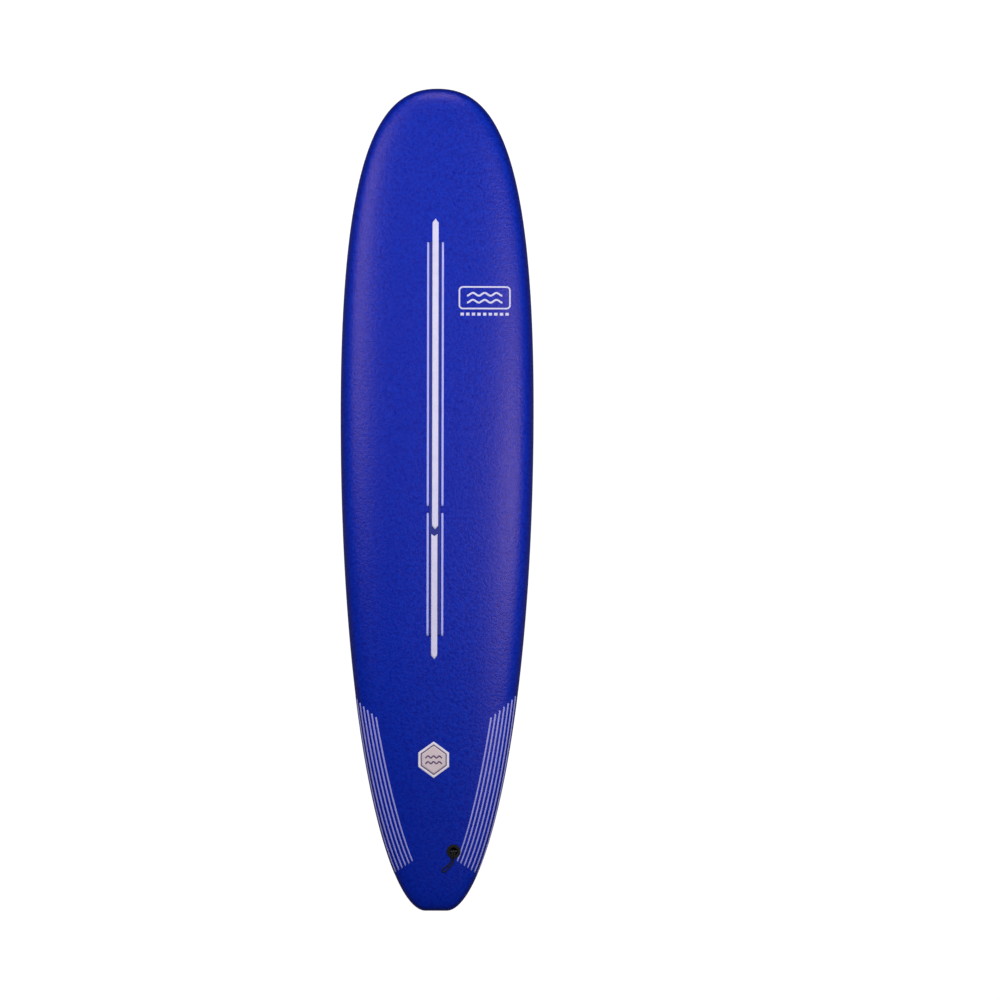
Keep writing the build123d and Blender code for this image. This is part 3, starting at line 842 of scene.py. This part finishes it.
# %% [markdown]
# ## The badge and the emblem
#
# A pointy-topped hexagon sits near the tail and a framed emblem near the nose. Both carry two rows of
# plain waves. The hexagon is a set of smaller and smaller copies of one outline, which is straight between
# its six corners. Lines are ribbons: a path with a width, laid on the skin.

# %% Ribbons
def ribbon(x, y, width, side=DECK, lift=PRINT_LIFT, closed=False):
    """A line with a width along a plan path: points are moved half the width to each side, square to the
    path."""
    path = np.column_stack([x, y])
    if closed:
        path = np.vstack([path, path[:1]])
        ahead = np.roll(path[:-1], -1, axis=0) - np.roll(path[:-1], 1, axis=0)
        ahead = np.vstack([ahead, ahead[:1]])
    else:
        ahead = np.gradient(path, axis=0)
    ahead /= np.linalg.norm(ahead, axis=1)[:, None]
    square = np.stack([-ahead[:, 1], ahead[:, 0]], axis=1)
    across = np.array([-0.5, 0.0, 0.5])[:, None, None]
    points = path + across * width * square
    return drop(points[..., 0], points[..., 1], side, lift), grid_faces(3, len(path))


def wave_line(centre_x, centre_y, length, height, humps, count=80):
    """A row of crests: the height follows a cosine along the line."""
    along = np.linspace(-0.5, 0.5, count)
    phase = 2 * np.pi * humps * along
    return centre_x + length * along, centre_y + height / 2 * np.cos(phase)


# %% The hexagon badge
HEX_CENTRE = (-0.0077, -0.7702)
HEX_WIDTH, HEX_HEIGHT = 0.0915, 0.1085
HEX_SIDE = 0.0420
MIDDLE_SCALE = 0.004
CREST_ROWS, CREST_LENGTH, CREST_HEIGHT, CREST_WIDTH, CRESTS = (0.0085, -0.0085), 0.050, 0.0058, 0.0042, 3.0


def hexagon(per_side=14):
    """The closed outline of a pointy-topped hexagon, with its points evenly spaced on each side."""
    half_width, half_height = HEX_WIDTH / 2, HEX_HEIGHT / 2
    corners = np.array([
        (0, half_height), (-half_width, HEX_SIDE / 2), (-half_width, -HEX_SIDE / 2),
        (0, -half_height), (half_width, -HEX_SIDE / 2), (half_width, HEX_SIDE / 2), (0, half_height),
    ])
    walked = np.arange(6 * per_side) / per_side
    outline = np.stack([np.interp(walked, np.arange(7), corners[:, i]) for i in (0, 1)], axis=1)
    return np.vstack([outline, outline[:1]])


def hexagon_band(inner_scale, outer_scale, lift, rings=4):
    """The band between two hexagons of one centre. A band from 0 is closed in the middle by one face."""
    scales = np.linspace(max(inner_scale, MIDDLE_SCALE), outer_scale, rings)[:, None, None]
    points = np.array(HEX_CENTRE) + scales * hexagon()
    grid = drop(points[..., 0], points[..., 1], DECK, lift)
    bands = [(grid, grid_faces(rings, points.shape[1]))]
    if inner_scale == 0.0:
        bands.append((grid[0, :-1], [list(range(points.shape[1] - 1))]))
    return bands


badge_border = print_piece("print_badge_border", hexagon_band(0.83, 1.0, PRINT_LIFT), DECK)
badge_ring = print_piece("print_badge_ring", hexagon_band(0.775, 0.845, 1.5 * PRINT_LIFT), DECK)
badge_face = print_piece("print_badge_face", hexagon_band(0.0, 0.79, PRINT_LIFT, 8), DECK)
wave_grids = []
for up in CREST_ROWS:
    crest_line = wave_line(HEX_CENTRE[0], HEX_CENTRE[1] + up, CREST_LENGTH, CREST_HEIGHT, CRESTS)
    wave_grids.append(ribbon(*crest_line, CREST_WIDTH, lift=1.9 * PRINT_LIFT))
badge_waves = print_piece("print_badge_waves", wave_grids, DECK)
print("badge", sum(triangles(p) for p in (badge_border, badge_ring, badge_face, badge_waves)), "triangles")


# %% The framed emblem
def evenly(points, count):
    """The same closed line with its points evenly spaced along it."""
    ring = np.vstack([points, points[:1]])
    walked = np.concatenate([[0.0], np.cumsum(np.hypot(*np.diff(ring, axis=0).T))])
    even = np.linspace(0.0, walked[-1], count + 1)[:-1]
    return np.stack([np.interp(even, walked, ring[:, i]) for i in (0, 1)], axis=1)


# Shares of the frame's height and width, from its corner down to the row of dashes under it.
FRAME_CORNER, FRAME_POINTS = 0.16, 160
EMBLEM_ROWS, EMBLEM_LENGTH, EMBLEM_CREST = (0.16, -0.16), 0.70, 0.13
DASHES, DASH_REACH, DASH_DROP, DASH_HEIGHT = 9, 0.31, 0.76, 0.14


def framed_emblem(name, centre, size, side, quarter_turn=False, line_width=0.0048):
    """A rounded frame with two rows of waves in it and a row of short dashes under it."""
    def turned(x, y):
        local_x, local_y = (y, -x) if quarter_turn else (x, y)
        return centre[0] + local_x, centre[1] + local_y

    width, height = size
    outline = evenly(rounded_rectangle(height, width, FRAME_CORNER * height), FRAME_POINTS)
    grids = [ribbon(*turned(outline[:, 0], outline[:, 1]), line_width, side, closed=True)]
    for up in EMBLEM_ROWS:
        x, y = wave_line(0.0, up * height, EMBLEM_LENGTH * width, EMBLEM_CREST * height, CRESTS)
        grids.append(ribbon(*turned(x, y), 1.2 * line_width, side))
    for k in range(DASHES):
        middle = (k - (DASHES - 1) / 2) * width / DASHES
        x = middle + np.linspace(-DASH_REACH, DASH_REACH, 4) * width / DASHES
        grids.append(ribbon(*turned(x, np.full(4, -DASH_DROP * height)), DASH_HEIGHT * height, side))
    return print_piece(name, grids, side)


deck_emblem = framed_emblem("print_deck_emblem", (0.1410, 0.6010), (0.1500, 0.0640), DECK)
print("emblem", triangles(deck_emblem), "triangles")

# %% [markdown]
# ## Prints on the bottom
#
# The bottom has a black bar with a fine line each side near the nose, a turned emblem with its dashes
# beside it, and a small block of care marks near the fins. They are the same shapes in black.

# %% Bottom prints
BOTTOM_BAR, BOTTOM_BAR_WIDTH = (0.858, -0.057), 0.0160
BOTTOM_LINE, BOTTOM_LINE_WIDTH, BOTTOM_LINE_OFFSET, BOTTOM_LINE_POINT = (0.789, 0.009), 0.0050, 0.023, 0.0015
bottom_grids = [bar(0.0, BOTTOM_BAR_WIDTH, *BOTTOM_BAR, POINT, POINT, side=BOTTOM)]
for way in (-1, 1):
    ends = (*BOTTOM_LINE, BOTTOM_LINE_POINT, BOTTOM_LINE_POINT)
    bottom_grids.append(bar(way * BOTTOM_LINE_OFFSET, BOTTOM_LINE_WIDTH, *ends, side=BOTTOM, columns=5))
bottom_bars = print_piece("print_bottom_bars", bottom_grids, BOTTOM)
SIDE_COLUMN = -0.2160
bottom_emblem = framed_emblem(
    "print_bottom_emblem", (SIDE_COLUMN, 0.3250), (0.0800, 0.0400), BOTTOM, True, 0.0030
)


def dash_row(centre_x, y, width, count, height, side):
    """A row of short dashes of one height, evenly spaced."""
    grids = []
    for k in range(count):
        middle = centre_x + (k - (count - 1) / 2) * width / count
        x = middle + np.linspace(-0.34, 0.34, 3) * width / count
        grids.append(ribbon(x, np.full(3, y), height, side))
    return grids


CARE_ROWS = ((0.050, 6), (0.022, 3), (0.030, 4), (0.016, 2), (0.036, 5), (0.024, 3))
CARE_START, CARE_PITCH, CARE_HEIGHT = -0.628, 0.0215, 0.0070
care_grids = []
for row, (width, count) in enumerate(CARE_ROWS):
    care_grids += dash_row(0.0, CARE_START - CARE_PITCH * row, width, count, CARE_HEIGHT, BOTTOM)
care_marks = print_piece("print_care_marks", care_grids, BOTTOM)
MARKS, MARK_START, MARK_PITCH, MARK_REACH, MARK_HEIGHT = 12, 0.4050, 0.0205, 0.010, 0.0125
mark_grids = []
for k in range(MARKS):
    x = SIDE_COLUMN + np.linspace(-MARK_REACH, MARK_REACH, 4)
    mark_grids.append(ribbon(x, np.full(4, MARK_START + MARK_PITCH * k), MARK_HEIGHT, BOTTOM))
side_marks = print_piece("print_side_marks", mark_grids, BOTTOM)
print("bottom prints", sum(triangles(p) for p in (bottom_bars, bottom_emblem, care_marks, side_marks)))

# %% [markdown]
# ## Materials
#
# Each finish is a small node network. Colour comes first, then a slow drift of it, then the fine grain
# as bump. The helpers add the nodes that every finish shares.

# %% Helpers for materials
class Finish:
    """A material under construction: a shader, object coordinates and a few short ways to add nodes."""

    def __init__(self, name, roughness, **fixed):
        self.material = bpy.data.materials.new(name)
        self.material.use_nodes = True
        self.nodes = self.material.node_tree.nodes
        self.links = self.material.node_tree.links
        self.shader = self.nodes["Principled BSDF"]
        self.place = self.nodes.new("ShaderNodeTexCoord").outputs["Object"]
        self.set("Roughness", roughness)
        for socket, value in fixed.items():
            self.set(socket.replace("_", " "), value)

    def set(self, socket, value):
        """A socket of the shader set to a value, or linked to another socket."""
        target = self.shader.inputs[socket]
        if isinstance(value, bpy.types.NodeSocket):
            self.links.new(value, target)
        else:
            target.default_value = value

    def node(self, kind, **settings):
        """A node with its sockets set to values or linked to other sockets."""
        made = self.nodes.new(kind)
        for key, value in settings.items():
            key = key.replace("_", " ")
            if key in made.inputs:
                if isinstance(value, bpy.types.NodeSocket):
                    self.links.new(value, made.inputs[key])
                else:
                    made.inputs[key].default_value = value
            else:
                setattr(made, key.replace(" ", "_"), value)
        return made

    def noise(self, scale, detail=4.0, rough=0.55, stretch=(1.0, 1.0, 1.0)):
        """Cloudy noise from 0 to 1, at so many blobs to the metre."""
        mapped = self.node("ShaderNodeMapping", Vector=self.place, Scale=stretch).outputs["Vector"]
        made = self.node("ShaderNodeTexNoise", Vector=mapped, Scale=scale, Detail=detail, Roughness=rough)
        return made.outputs["Fac"]

    def cells(self, scale, feature="F1", stretch=(1.0, 1.0, 1.0)):
        """The distance to the nearest cell's middle, at so many cells to the metre."""
        mapped = self.node("ShaderNodeMapping", Vector=self.place, Scale=stretch).outputs["Vector"]
        made = self.node("ShaderNodeTexVoronoi", feature=feature, Vector=mapped, Scale=scale)
        return made.outputs["Distance"]

    def ramp(self, value, *stops):
        """A value turned into a colour by (position, colour) stops."""
        made = self.node("ShaderNodeValToRGB", Fac=value)
        elements = made.color_ramp.elements
        while len(elements) < len(stops):
            elements.new(1.0)
        for element, (position, colour) in zip(elements, stops):
            element.position = position
            element.color = (*colour, 1.0)
        return made.outputs["Color"]

    def spread(self, value, low, high, source=(0.0, 1.0)):
        """A value moved from one range to another."""
        made = self.node("ShaderNodeMapRange", Value=value, From_Min=source[0], From_Max=source[1])
        made.inputs["To Min"].default_value = low
        made.inputs["To Max"].default_value = high
        return made.outputs["Result"]

    def maths(self, operation, first, second):
        """Two values joined by one operation."""
        made = self.nodes.new("ShaderNodeMath")
        made.operation = operation
        for socket, value in zip(made.inputs, (first, second)):
            if isinstance(value, bpy.types.NodeSocket):
                self.links.new(value, socket)
            else:
                socket.default_value = value
        return made.outputs["Value"]

    def mix(self, share, first, second, blend="MIX"):
        """Two colours mixed by a share, or blended by another rule."""
        made = self.nodes.new("ShaderNodeMix")
        made.data_type = "RGBA"
        made.blend_type = blend
        wanted = {"Factor": share, "A": first, "B": second}
        for socket in made.inputs:
            value = wanted.get(socket.name)
            if value is None or (socket.name != "Factor" and socket.type != "RGBA"):
                continue
            if socket.name == "Factor" and socket.type != "VALUE":
                continue
            if isinstance(value, bpy.types.NodeSocket):
                self.links.new(value, socket)
            else:
                socket.default_value = value if socket.name == "Factor" else (*value, 1.0)
        return next(o for o in made.outputs if o.type == "RGBA")

    def bump(self, height, distance, strength=1.0):
        """Fine relief from a height, in metres of depth, stacked on any relief that is there."""
        made = self.node("ShaderNodeBump", Height=height, Distance=distance, Strength=strength)
        earlier = self.shader.inputs["Normal"].links
        if earlier:
            self.links.new(earlier[0].from_socket, made.inputs["Normal"])
        self.set("Normal", made.outputs["Normal"])


# %% [markdown]
# ## Closed-cell foam
#
# The deck foam is pressed against a textured belt, which leaves soft pebbles about 2 mm across with dull,
# wax-ready tops, in wider and softer dimples. Its dye drifts a little along the sheet, and the hollows of
# the pebbles and dimples are painted darker as shade. Near the rails the deck's colour is painted darker
# still, as the shade where it turns away from the lamps. The rail foam is the same sheet in teal. Prints on
# the foam take its pebbles, so they use the same relief. The foam's low gloss is tinted a little red, which
# turns its sheen mauve.

# %% Foam finishes
PEBBLES = 430.0
DIMPLES = 120.0
# The colour that multiplies the deck near its rails, as painted shade where the deck turns away from the
# lamps.
PAINTED_RAIL_SHADE = (0.25, 0.38, 0.5)
SHEEN_TINT = (1.0, 0.6, 0.52, 1.0)


def foam(name, dark, mid, light, roughness=0.29):
    """Pebbled foam in three shades of one dye, with painted shade that darkens its hollows and dimples, and a
    slow drift between the middle and light shades. Near the rail the colour is darkened as painted shade,
    where the deck turns away from the lamps: an attribute says how near the rail is."""
    finish = Finish(name, roughness, Specular_IOR_Level=0.20, Specular_Tint=SHEEN_TINT)
    pebble = finish.cells(PEBBLES, "SMOOTH_F1")
    dimple = finish.noise(DIMPLES, 3.0, 0.62)
    grain = finish.noise(1500.0, 2.0)
    drift = finish.noise(2.6, 3.0, stretch=(1.0, 0.35, 1.0))
    mottle = finish.noise(60.0, 3.0, 0.7)
    body = finish.ramp(drift, (0.35, mid), (0.68, light))
    speckled = finish.mix(finish.spread(mottle, 0.0, 0.35, (0.35, 0.75)), body, dark)
    # Painted shade: the pebbles' hollows and the dimples' low parts are mixed towards the dark colour.
    hollow_shade = finish.spread(pebble, 0.0, 0.45, (0.35, 0.85))
    dimples_shaded = finish.mix(finish.spread(dimple, 0.9, 0.0, (0.36, 0.60)), speckled, dark)
    pebbled = finish.mix(hollow_shade, dimples_shaded, dark)
    # Painted shade near the rails: the colour is multiplied darker by the share that the rail attribute
    # gives.
    rail_shade_share = finish.node("ShaderNodeAttribute", attribute_name="rail").outputs["Fac"]
    shaded_pebbled = finish.mix(1.0, pebbled, PAINTED_RAIL_SHADE, "MULTIPLY")
    finish.set("Base Color", finish.mix(rail_shade_share, pebbled, shaded_pebbled))
    finish.set("Roughness", finish.spread(mottle, roughness - 0.06, roughness + 0.08))
    finish.bump(finish.spread(pebble, 1.0, 0.0), 0.00035, 0.55)
    finish.bump(grain, 0.00008, 0.5)
    finish.bump(dimple, 0.0011, 0.8)
    return finish.material


DECK_BLUE = foam("deck_blue_foam", (0.0005, 0.0095, 0.25), (0.0007, 0.021, 0.355), (0.0010, 0.026, 0.40))
RAIL_TEAL = foam("rail_teal_foam", (0.004, 0.040, 0.085), (0.009, 0.075, 0.145), (0.013, 0.095, 0.175))


def foam_print(name, colour, worn, amount=0.35, roughness=0.5):
    """Ink on pebbled foam: full on the pebbles' tops and thinner in their hollows, where dye shows."""
    finish = Finish(name, roughness, Specular_IOR_Level=0.35)
    pebble = finish.cells(PEBBLES, "SMOOTH_F1")
    patch = finish.noise(38.0, 4.0, 0.7)
    thin = finish.maths("MULTIPLY", finish.spread(pebble, 0.0, 1.0, (0.4, 0.9)), amount)
    inked = finish.mix(thin, colour, worn)
    finish.set("Base Color", finish.mix(finish.spread(patch, 0.0, 0.22, (0.45, 0.8)), inked, worn))
    finish.bump(finish.spread(pebble, 1.0, 0.0), 0.00030, 0.45)
    return finish.material


BAR_WHITE = foam_print("print_bar_white", (0.57, 0.545, 0.73), (0.29, 0.27, 0.50), 0.25)
LINE_LILAC = foam_print("print_line_lilac", (0.36, 0.37, 0.76), (0.15, 0.15, 0.50))
STRIPE_LAVENDER = foam_print("print_stripe_lavender", (0.31, 0.30, 0.70), (0.10, 0.09, 0.40))
# The navy of the painted shadow band along the bars.
PAINTED_SHADOW_NAVY = foam_print("painted_shade_band_navy", (0.0010, 0.009, 0.19), (0.001, 0.012, 0.26), 0.3)
BADGE_WHITE = foam_print("print_badge_white", (0.74, 0.70, 0.78), (0.40, 0.36, 0.55), 0.2)
BADGE_MAUVE = foam_print("print_badge_mauve", (0.12, 0.06, 0.16), (0.06, 0.03, 0.12))
BADGE_BEIGE = foam_print("print_badge_beige", (0.62, 0.52, 0.55), (0.42, 0.34, 0.46), 0.2)
print("nodes in the deck's foam", len(DECK_BLUE.node_tree.nodes))

# %% [markdown]
# ## Slick plastic, moulded parts and metal
#
# The slick is a tough, slightly waxy sheet: satin, with hair-fine scuffs along the board. The boxes are
# glass-filled nylon with a spark-eroded grain, the plug is black nylon, and the screws and pin are
# turned steel. The pin's steel is painted dark, as the shade down in the plug's cup.

# %% Hard finishes
def slick_finish():
    """Yellow sheet: an even dye with a slow drift, an orange-peel skin and long hair-fine scuffs."""
    finish = Finish("slick_yellow", 0.3, Specular_IOR_Level=0.45, Coat_Weight=0.12, Coat_Roughness=0.25)
    drift = finish.noise(3.0, 3.0)
    scuff = finish.noise(220.0, 3.0, 0.8, (1.0, 0.02, 1.0))
    peel = finish.noise(320.0, 2.0)
    colour = finish.ramp(drift, (0.3, (0.72, 0.735, 0.008)), (0.7, (0.77, 0.785, 0.014)))
    finish.set("Base Color", colour)
    finish.set("Roughness", finish.spread(scuff, 0.26, 0.42, (0.4, 0.75)))
    finish.bump(peel, 0.00004, 0.35)
    finish.bump(scuff, 0.00002, 0.3)
    return finish.material


def film_ink(name, colour):
    """Ink under the slick's face: satin, with a slight drift of its blackness."""
    finish = Finish(name, 0.34, Specular_IOR_Level=0.45)
    drift = finish.noise(50.0, 3.0)
    lighter = tuple(1.8 * value + 0.004 for value in colour)
    finish.set("Base Color", finish.ramp(drift, (0.35, colour), (0.75, lighter)))
    finish.bump(finish.noise(320.0, 2.0), 0.00004, 0.35)
    return finish.material


def moulded(name, colour, shade, roughness, grain=900.0, specular=0.5):
    """Moulded nylon: one colour with a faint flow pattern, and a spark-eroded grain."""
    finish = Finish(name, roughness, Specular_IOR_Level=specular)
    flow = finish.noise(24.0, 4.0, 0.6, (1.0, 0.4, 1.0))
    finish.set("Base Color", finish.ramp(flow, (0.35, shade), (0.65, colour)))
    speck = finish.noise(grain, 3.0, 0.7)
    finish.set("Roughness", finish.spread(speck, roughness - 0.05, roughness + 0.1))
    finish.bump(speck, 0.00005, 0.5)
    return finish.material


def steel(name, direction, dark=(0.50, 0.50, 0.52), light=(0.66, 0.66, 0.67)):
    """Turned stainless steel: fine grooves one way, with a little drift in its shine."""
    finish = Finish(name, 0.3, Metallic=1.0)
    groove = finish.noise(900.0, 2.0, 0.6, direction)
    finish.set("Base Color", finish.ramp(groove, (0.3, dark), (0.7, light)))
    finish.set("Roughness", finish.spread(groove, 0.22, 0.42))
    finish.bump(groove, 0.00002, 0.4)
    return finish.material


SLICK_YELLOW = slick_finish()
INK_BLACK = film_ink("print_ink_black", (0.012, 0.012, 0.014))
BOX_WHITE = moulded("fin_box_white", (0.90, 0.90, 0.89), (0.82, 0.82, 0.80), 0.38)
PLUG_BLACK = moulded("plug_black", (0.006, 0.006, 0.006), (0.003, 0.003, 0.003), 0.5, specular=0.2)
SCREW_STEEL = steel("screw_steel", (1.0, 1.0, 0.1))
# The pin is steel, painted much darker as the shade where it sits down in the plug's cup.
SHADED_PIN_STEEL = steel("pin_steel", (0.05, 1.0, 1.0), (0.06, 0.06, 0.07), (0.12, 0.12, 0.13))
print("nodes in the slick", len(SLICK_YELLOW.node_tree.nodes))

# %% [markdown]
# ## What is inside
#
# None of this shows on a whole board, but a part that is opened up has to look right too. The core is
# bead foam, whose swollen beads show as cells with fine dark seams. The stringers are ply
# with long grain, the underlay is fine white foam, and the insert blocks are dense yellowish foam.

# %% Inner finishes
def bead_foam(name, bead, seam, beads_per_metre):
    """Beads pressed together: cells of one colour with seams where their edges meet."""
    finish = Finish(name, 0.75)
    edge = finish.cells(beads_per_metre, "DISTANCE_TO_EDGE")
    finish.set("Base Color", finish.ramp(edge, (0.0, seam), (0.09, bead)))
    finish.bump(finish.spread(edge, 0.0, 1.0, (0.0, 0.15)), 0.0003, 0.6)
    return finish.material


def wood(name):
    """Wood with its grain along the board: stretched noise bands from light to dark."""
    finish = Finish(name, 0.5)
    band = finish.noise(90.0, 5.0, 0.65, (1.0, 0.04, 1.0))
    pore = finish.noise(700.0, 3.0, 0.7, (1.0, 0.02, 1.0))
    late, ply, early = (0.42, 0.26, 0.12), (0.62, 0.43, 0.24), (0.70, 0.52, 0.32)
    tone = finish.ramp(band, (0.3, late), (0.55, ply), (0.8, early))
    porous = finish.spread(pore, 0.0, 0.5, (0.55, 0.8))
    finish.set("Base Color", finish.mix(porous, tone, (0.25, 0.14, 0.06)))
    finish.bump(pore, 0.0001, 0.5)
    return finish.material


CORE_WHITE = bead_foam("core_bead_foam", (0.88, 0.88, 0.86), (0.55, 0.55, 0.53), 260.0)
UNDERLAY_WHITE = bead_foam("underlay_foam", (0.84, 0.85, 0.83), (0.68, 0.69, 0.67), 1400.0)
INSERT_YELLOW = bead_foam("insert_foam", (0.74, 0.66, 0.42), (0.58, 0.50, 0.30), 2200.0)
STRINGER_WOOD = wood("stringer_wood")
print("nodes in the core's beads", len(CORE_WHITE.node_tree.nodes))

# %% [markdown]
# ## Cord
#
# The string is black polyester. Each strand is a bundle of filaments, so its shine is broken into fine
# streaks, with a soft sheen at its edges.

# %% Cord finish
def cord_finish():
    """Black filament yarn: near-black with grey flecks, rough, with sheen."""
    finish = Finish("cord_black", 0.75, Specular_IOR_Level=0.2, Sheen_Weight=0.08, Sheen_Roughness=0.5)
    fleck = finish.noise(2600.0, 2.0, 0.7)
    black, grey = (0.004, 0.004, 0.005), (0.018, 0.018, 0.020)
    finish.set("Base Color", finish.ramp(fleck, (0.35, black), (0.8, grey)))
    finish.bump(fleck, 0.0001, 0.6)
    return finish.material


CORD_BLACK = cord_finish()
print("nodes in the cord", len(CORD_BLACK.node_tree.nodes))


# %% Finishes put on
def wear(piece, material):
    """Gives a piece one material in all its slots."""
    if isinstance(piece, str):
        piece = frame["nodes"][piece]
    if not piece.data.materials:
        piece.data.materials.append(material)
    for slot in piece.material_slots:
        slot.material = material


WORN = [
    (DECK_BLUE, [deck]),
    (RAIL_TEAL, rails),
    (SLICK_YELLOW, [slick]),
    (BAR_WHITE, [main_bars, deck_emblem]),
    (LINE_LILAC, [side_lines]),
    (PAINTED_SHADOW_NAVY, [shadow_band]),
    (STRIPE_LAVENDER, [pinstripes]),
    (BADGE_WHITE, [badge_border]),
    (BADGE_MAUVE, [badge_ring, badge_waves]),
    (BADGE_BEIGE, [badge_face]),
    (INK_BLACK, [bottom_bars, bottom_emblem, care_marks, side_marks]),
    (CORD_BLACK, [string]),
]
for material, pieces in WORN:
    for piece in pieces:
        wear(piece, material)
BY_SLOT = {
    "underlay": UNDERLAY_WHITE, "core_foam": CORE_WHITE, "stringer_wood": STRINGER_WOOD,
    "fin_box_plastic": BOX_WHITE, "insert_foam": INSERT_YELLOW, "screw_steel": SCREW_STEEL,
    "plug_plastic": PLUG_BLACK, "pin_steel": SHADED_PIN_STEEL, "deck_foam": DECK_BLUE, "rail_foam": RAIL_TEAL,
    "slick": SLICK_YELLOW, "string_cord": CORD_BLACK,
}
for subpart in frame["record"]["subparts"]:
    wear(subpart["node"], BY_SLOT[subpart["material_slot"]])

# %% [markdown]
# ## The studio
#
# Catalogue pictures are taken on a light table: a sheet of white acrylic that glows from below, so that
# nothing casts a shadow on it. Two soft boxes hang over the board, one to each side, where the round of
# the deck mirrors them into two long soft sheens, and one beyond the nose. The room above is dim, which
# keeps the dyes deep. The table looks white but mirrors dimly in the rails, which keeps their edges dark,
# and it lets a view from below through, so that the bottom can be looked at as well.

# %% The light table
TABLE_REACH, TABLE_DROP = 60.0, 0.0006
TABLE_GLOW, TABLE_SPILL = 1.0, 0.15
WHITE = (1.0, 1.0, 1.0, 1.0)
table_corners = TABLE_REACH * np.array([(-1, -1, 0), (1, -1, 0), (1, 1, 0), (-1, 1, 0)], float)
table_mesh = bpy.data.meshes.new("light_table")
table_mesh.from_pydata(table_corners - np.array([0.0, 0.0, TABLE_DROP]), [], [(0, 1, 2, 3)])
table = bpy.data.objects.new("light_table", table_mesh)
bpy.context.collection.objects.link(table)


def acrylic_finish():
    """Acrylic that glows evenly, less so in a mirrored ray, and gives back little light. Seen from below
    it is clear."""
    finish = Finish("light_table_acrylic", 0.9, Base_Color=(0.08, 0.08, 0.08, 1.0), Specular_IOR_Level=0.0)
    finish.set("Emission Color", WHITE)
    mirrored_ray = finish.node("ShaderNodeLightPath").outputs["Is Glossy Ray"]
    finish.set("Emission Strength", finish.spread(mirrored_ray, TABLE_GLOW, TABLE_SPILL))
    facing = finish.node("ShaderNodeNewGeometry")
    clear = finish.node("ShaderNodeBsdfTransparent")
    one_way = finish.node("ShaderNodeMixShader", Fac=facing.outputs["Backfacing"])
    finish.links.new(finish.shader.outputs["BSDF"], one_way.inputs[1])
    finish.links.new(clear.outputs["BSDF"], one_way.inputs[2])
    finish.links.new(one_way.outputs["Shader"], finish.nodes["Material Output"].inputs["Surface"])
    finish.material.cycles.emission_sampling = "NONE"
    return finish.material


table_mesh.materials.append(acrylic_finish())
print("light table", 2 * TABLE_REACH, "m across")

# %% The room: dim above the table and white below it
ROOM_ABOVE, ROOM_BELOW, HORIZON = 0.07, 1.0, 0.05
room = bpy.data.worlds.new("studio")
bpy.context.scene.world = room
room.use_nodes = True
room_nodes, room_links = room.node_tree.nodes, room.node_tree.links
ways = room_nodes.new("ShaderNodeTexCoord")
split_way = room_nodes.new("ShaderNodeSeparateXYZ")
brightness = room_nodes.new("ShaderNodeMapRange")
brightness.inputs["From Min"].default_value = -HORIZON
brightness.inputs["From Max"].default_value = HORIZON
brightness.inputs["To Min"].default_value = ROOM_BELOW
brightness.inputs["To Max"].default_value = ROOM_ABOVE
room_links.new(ways.outputs["Generated"], split_way.inputs["Vector"])
room_links.new(split_way.outputs["Z"], brightness.inputs["Value"])
seen_directly = room_nodes.new("ShaderNodeLightPath")
brighter = room_nodes.new("ShaderNodeMath")
brighter.operation = "MAXIMUM"
room_links.new(brightness.outputs["Result"], brighter.inputs[0])
room_links.new(seen_directly.outputs["Is Camera Ray"], brighter.inputs[1])
room_links.new(brighter.outputs["Value"], room_nodes["Background"].inputs["Strength"])
room_nodes["Background"].inputs["Color"].default_value = WHITE
print("room", ROOM_ABOVE, "above the horizon and", ROOM_BELOW, "below it")


# %% The soft boxes
def soft_box(name, place, aim, length, width, power):
    """A rectangular lamp that looks at a point, with its length along the board."""
    light = bpy.data.lights.new(name, "AREA")
    light.shape = "RECTANGLE"
    light.size, light.size_y = length, width
    light.energy = power
    made = bpy.data.objects.new(name, light)
    out = np.array(place, float) - np.array(aim, float)
    made.location = place
    tilt = math.atan2(math.hypot(out[0], out[1]), out[2])
    made.rotation_euler = (tilt, 0.0, math.atan2(out[0], -out[1]))
    bpy.context.collection.objects.link(made)
    print(name, power, "W")


soft_box("soft_box_left", (-1.45, 0.66, 2.2), (0.0, 0.6, 0.0), 1.0, 1.35, 33.0)
soft_box("soft_box_right", (1.20, 0.0, 2.2), (0.0, 0.2, 0.0), 0.85, 1.45, 38.0)
soft_box("soft_box_nose", (0.0, 2.1, 2.2), (0.0, 0.6, 0.0), 1.0, 1.0, 30.0)
bpy.context.scene.view_settings.view_transform = "Standard"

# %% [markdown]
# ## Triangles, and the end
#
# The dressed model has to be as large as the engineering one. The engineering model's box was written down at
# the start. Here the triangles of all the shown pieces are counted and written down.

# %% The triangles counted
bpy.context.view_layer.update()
total = sum(triangles(piece) for piece in bpy.data.objects if piece.type == "MESH" and not piece.hide_render)
print("triangles in all", total)
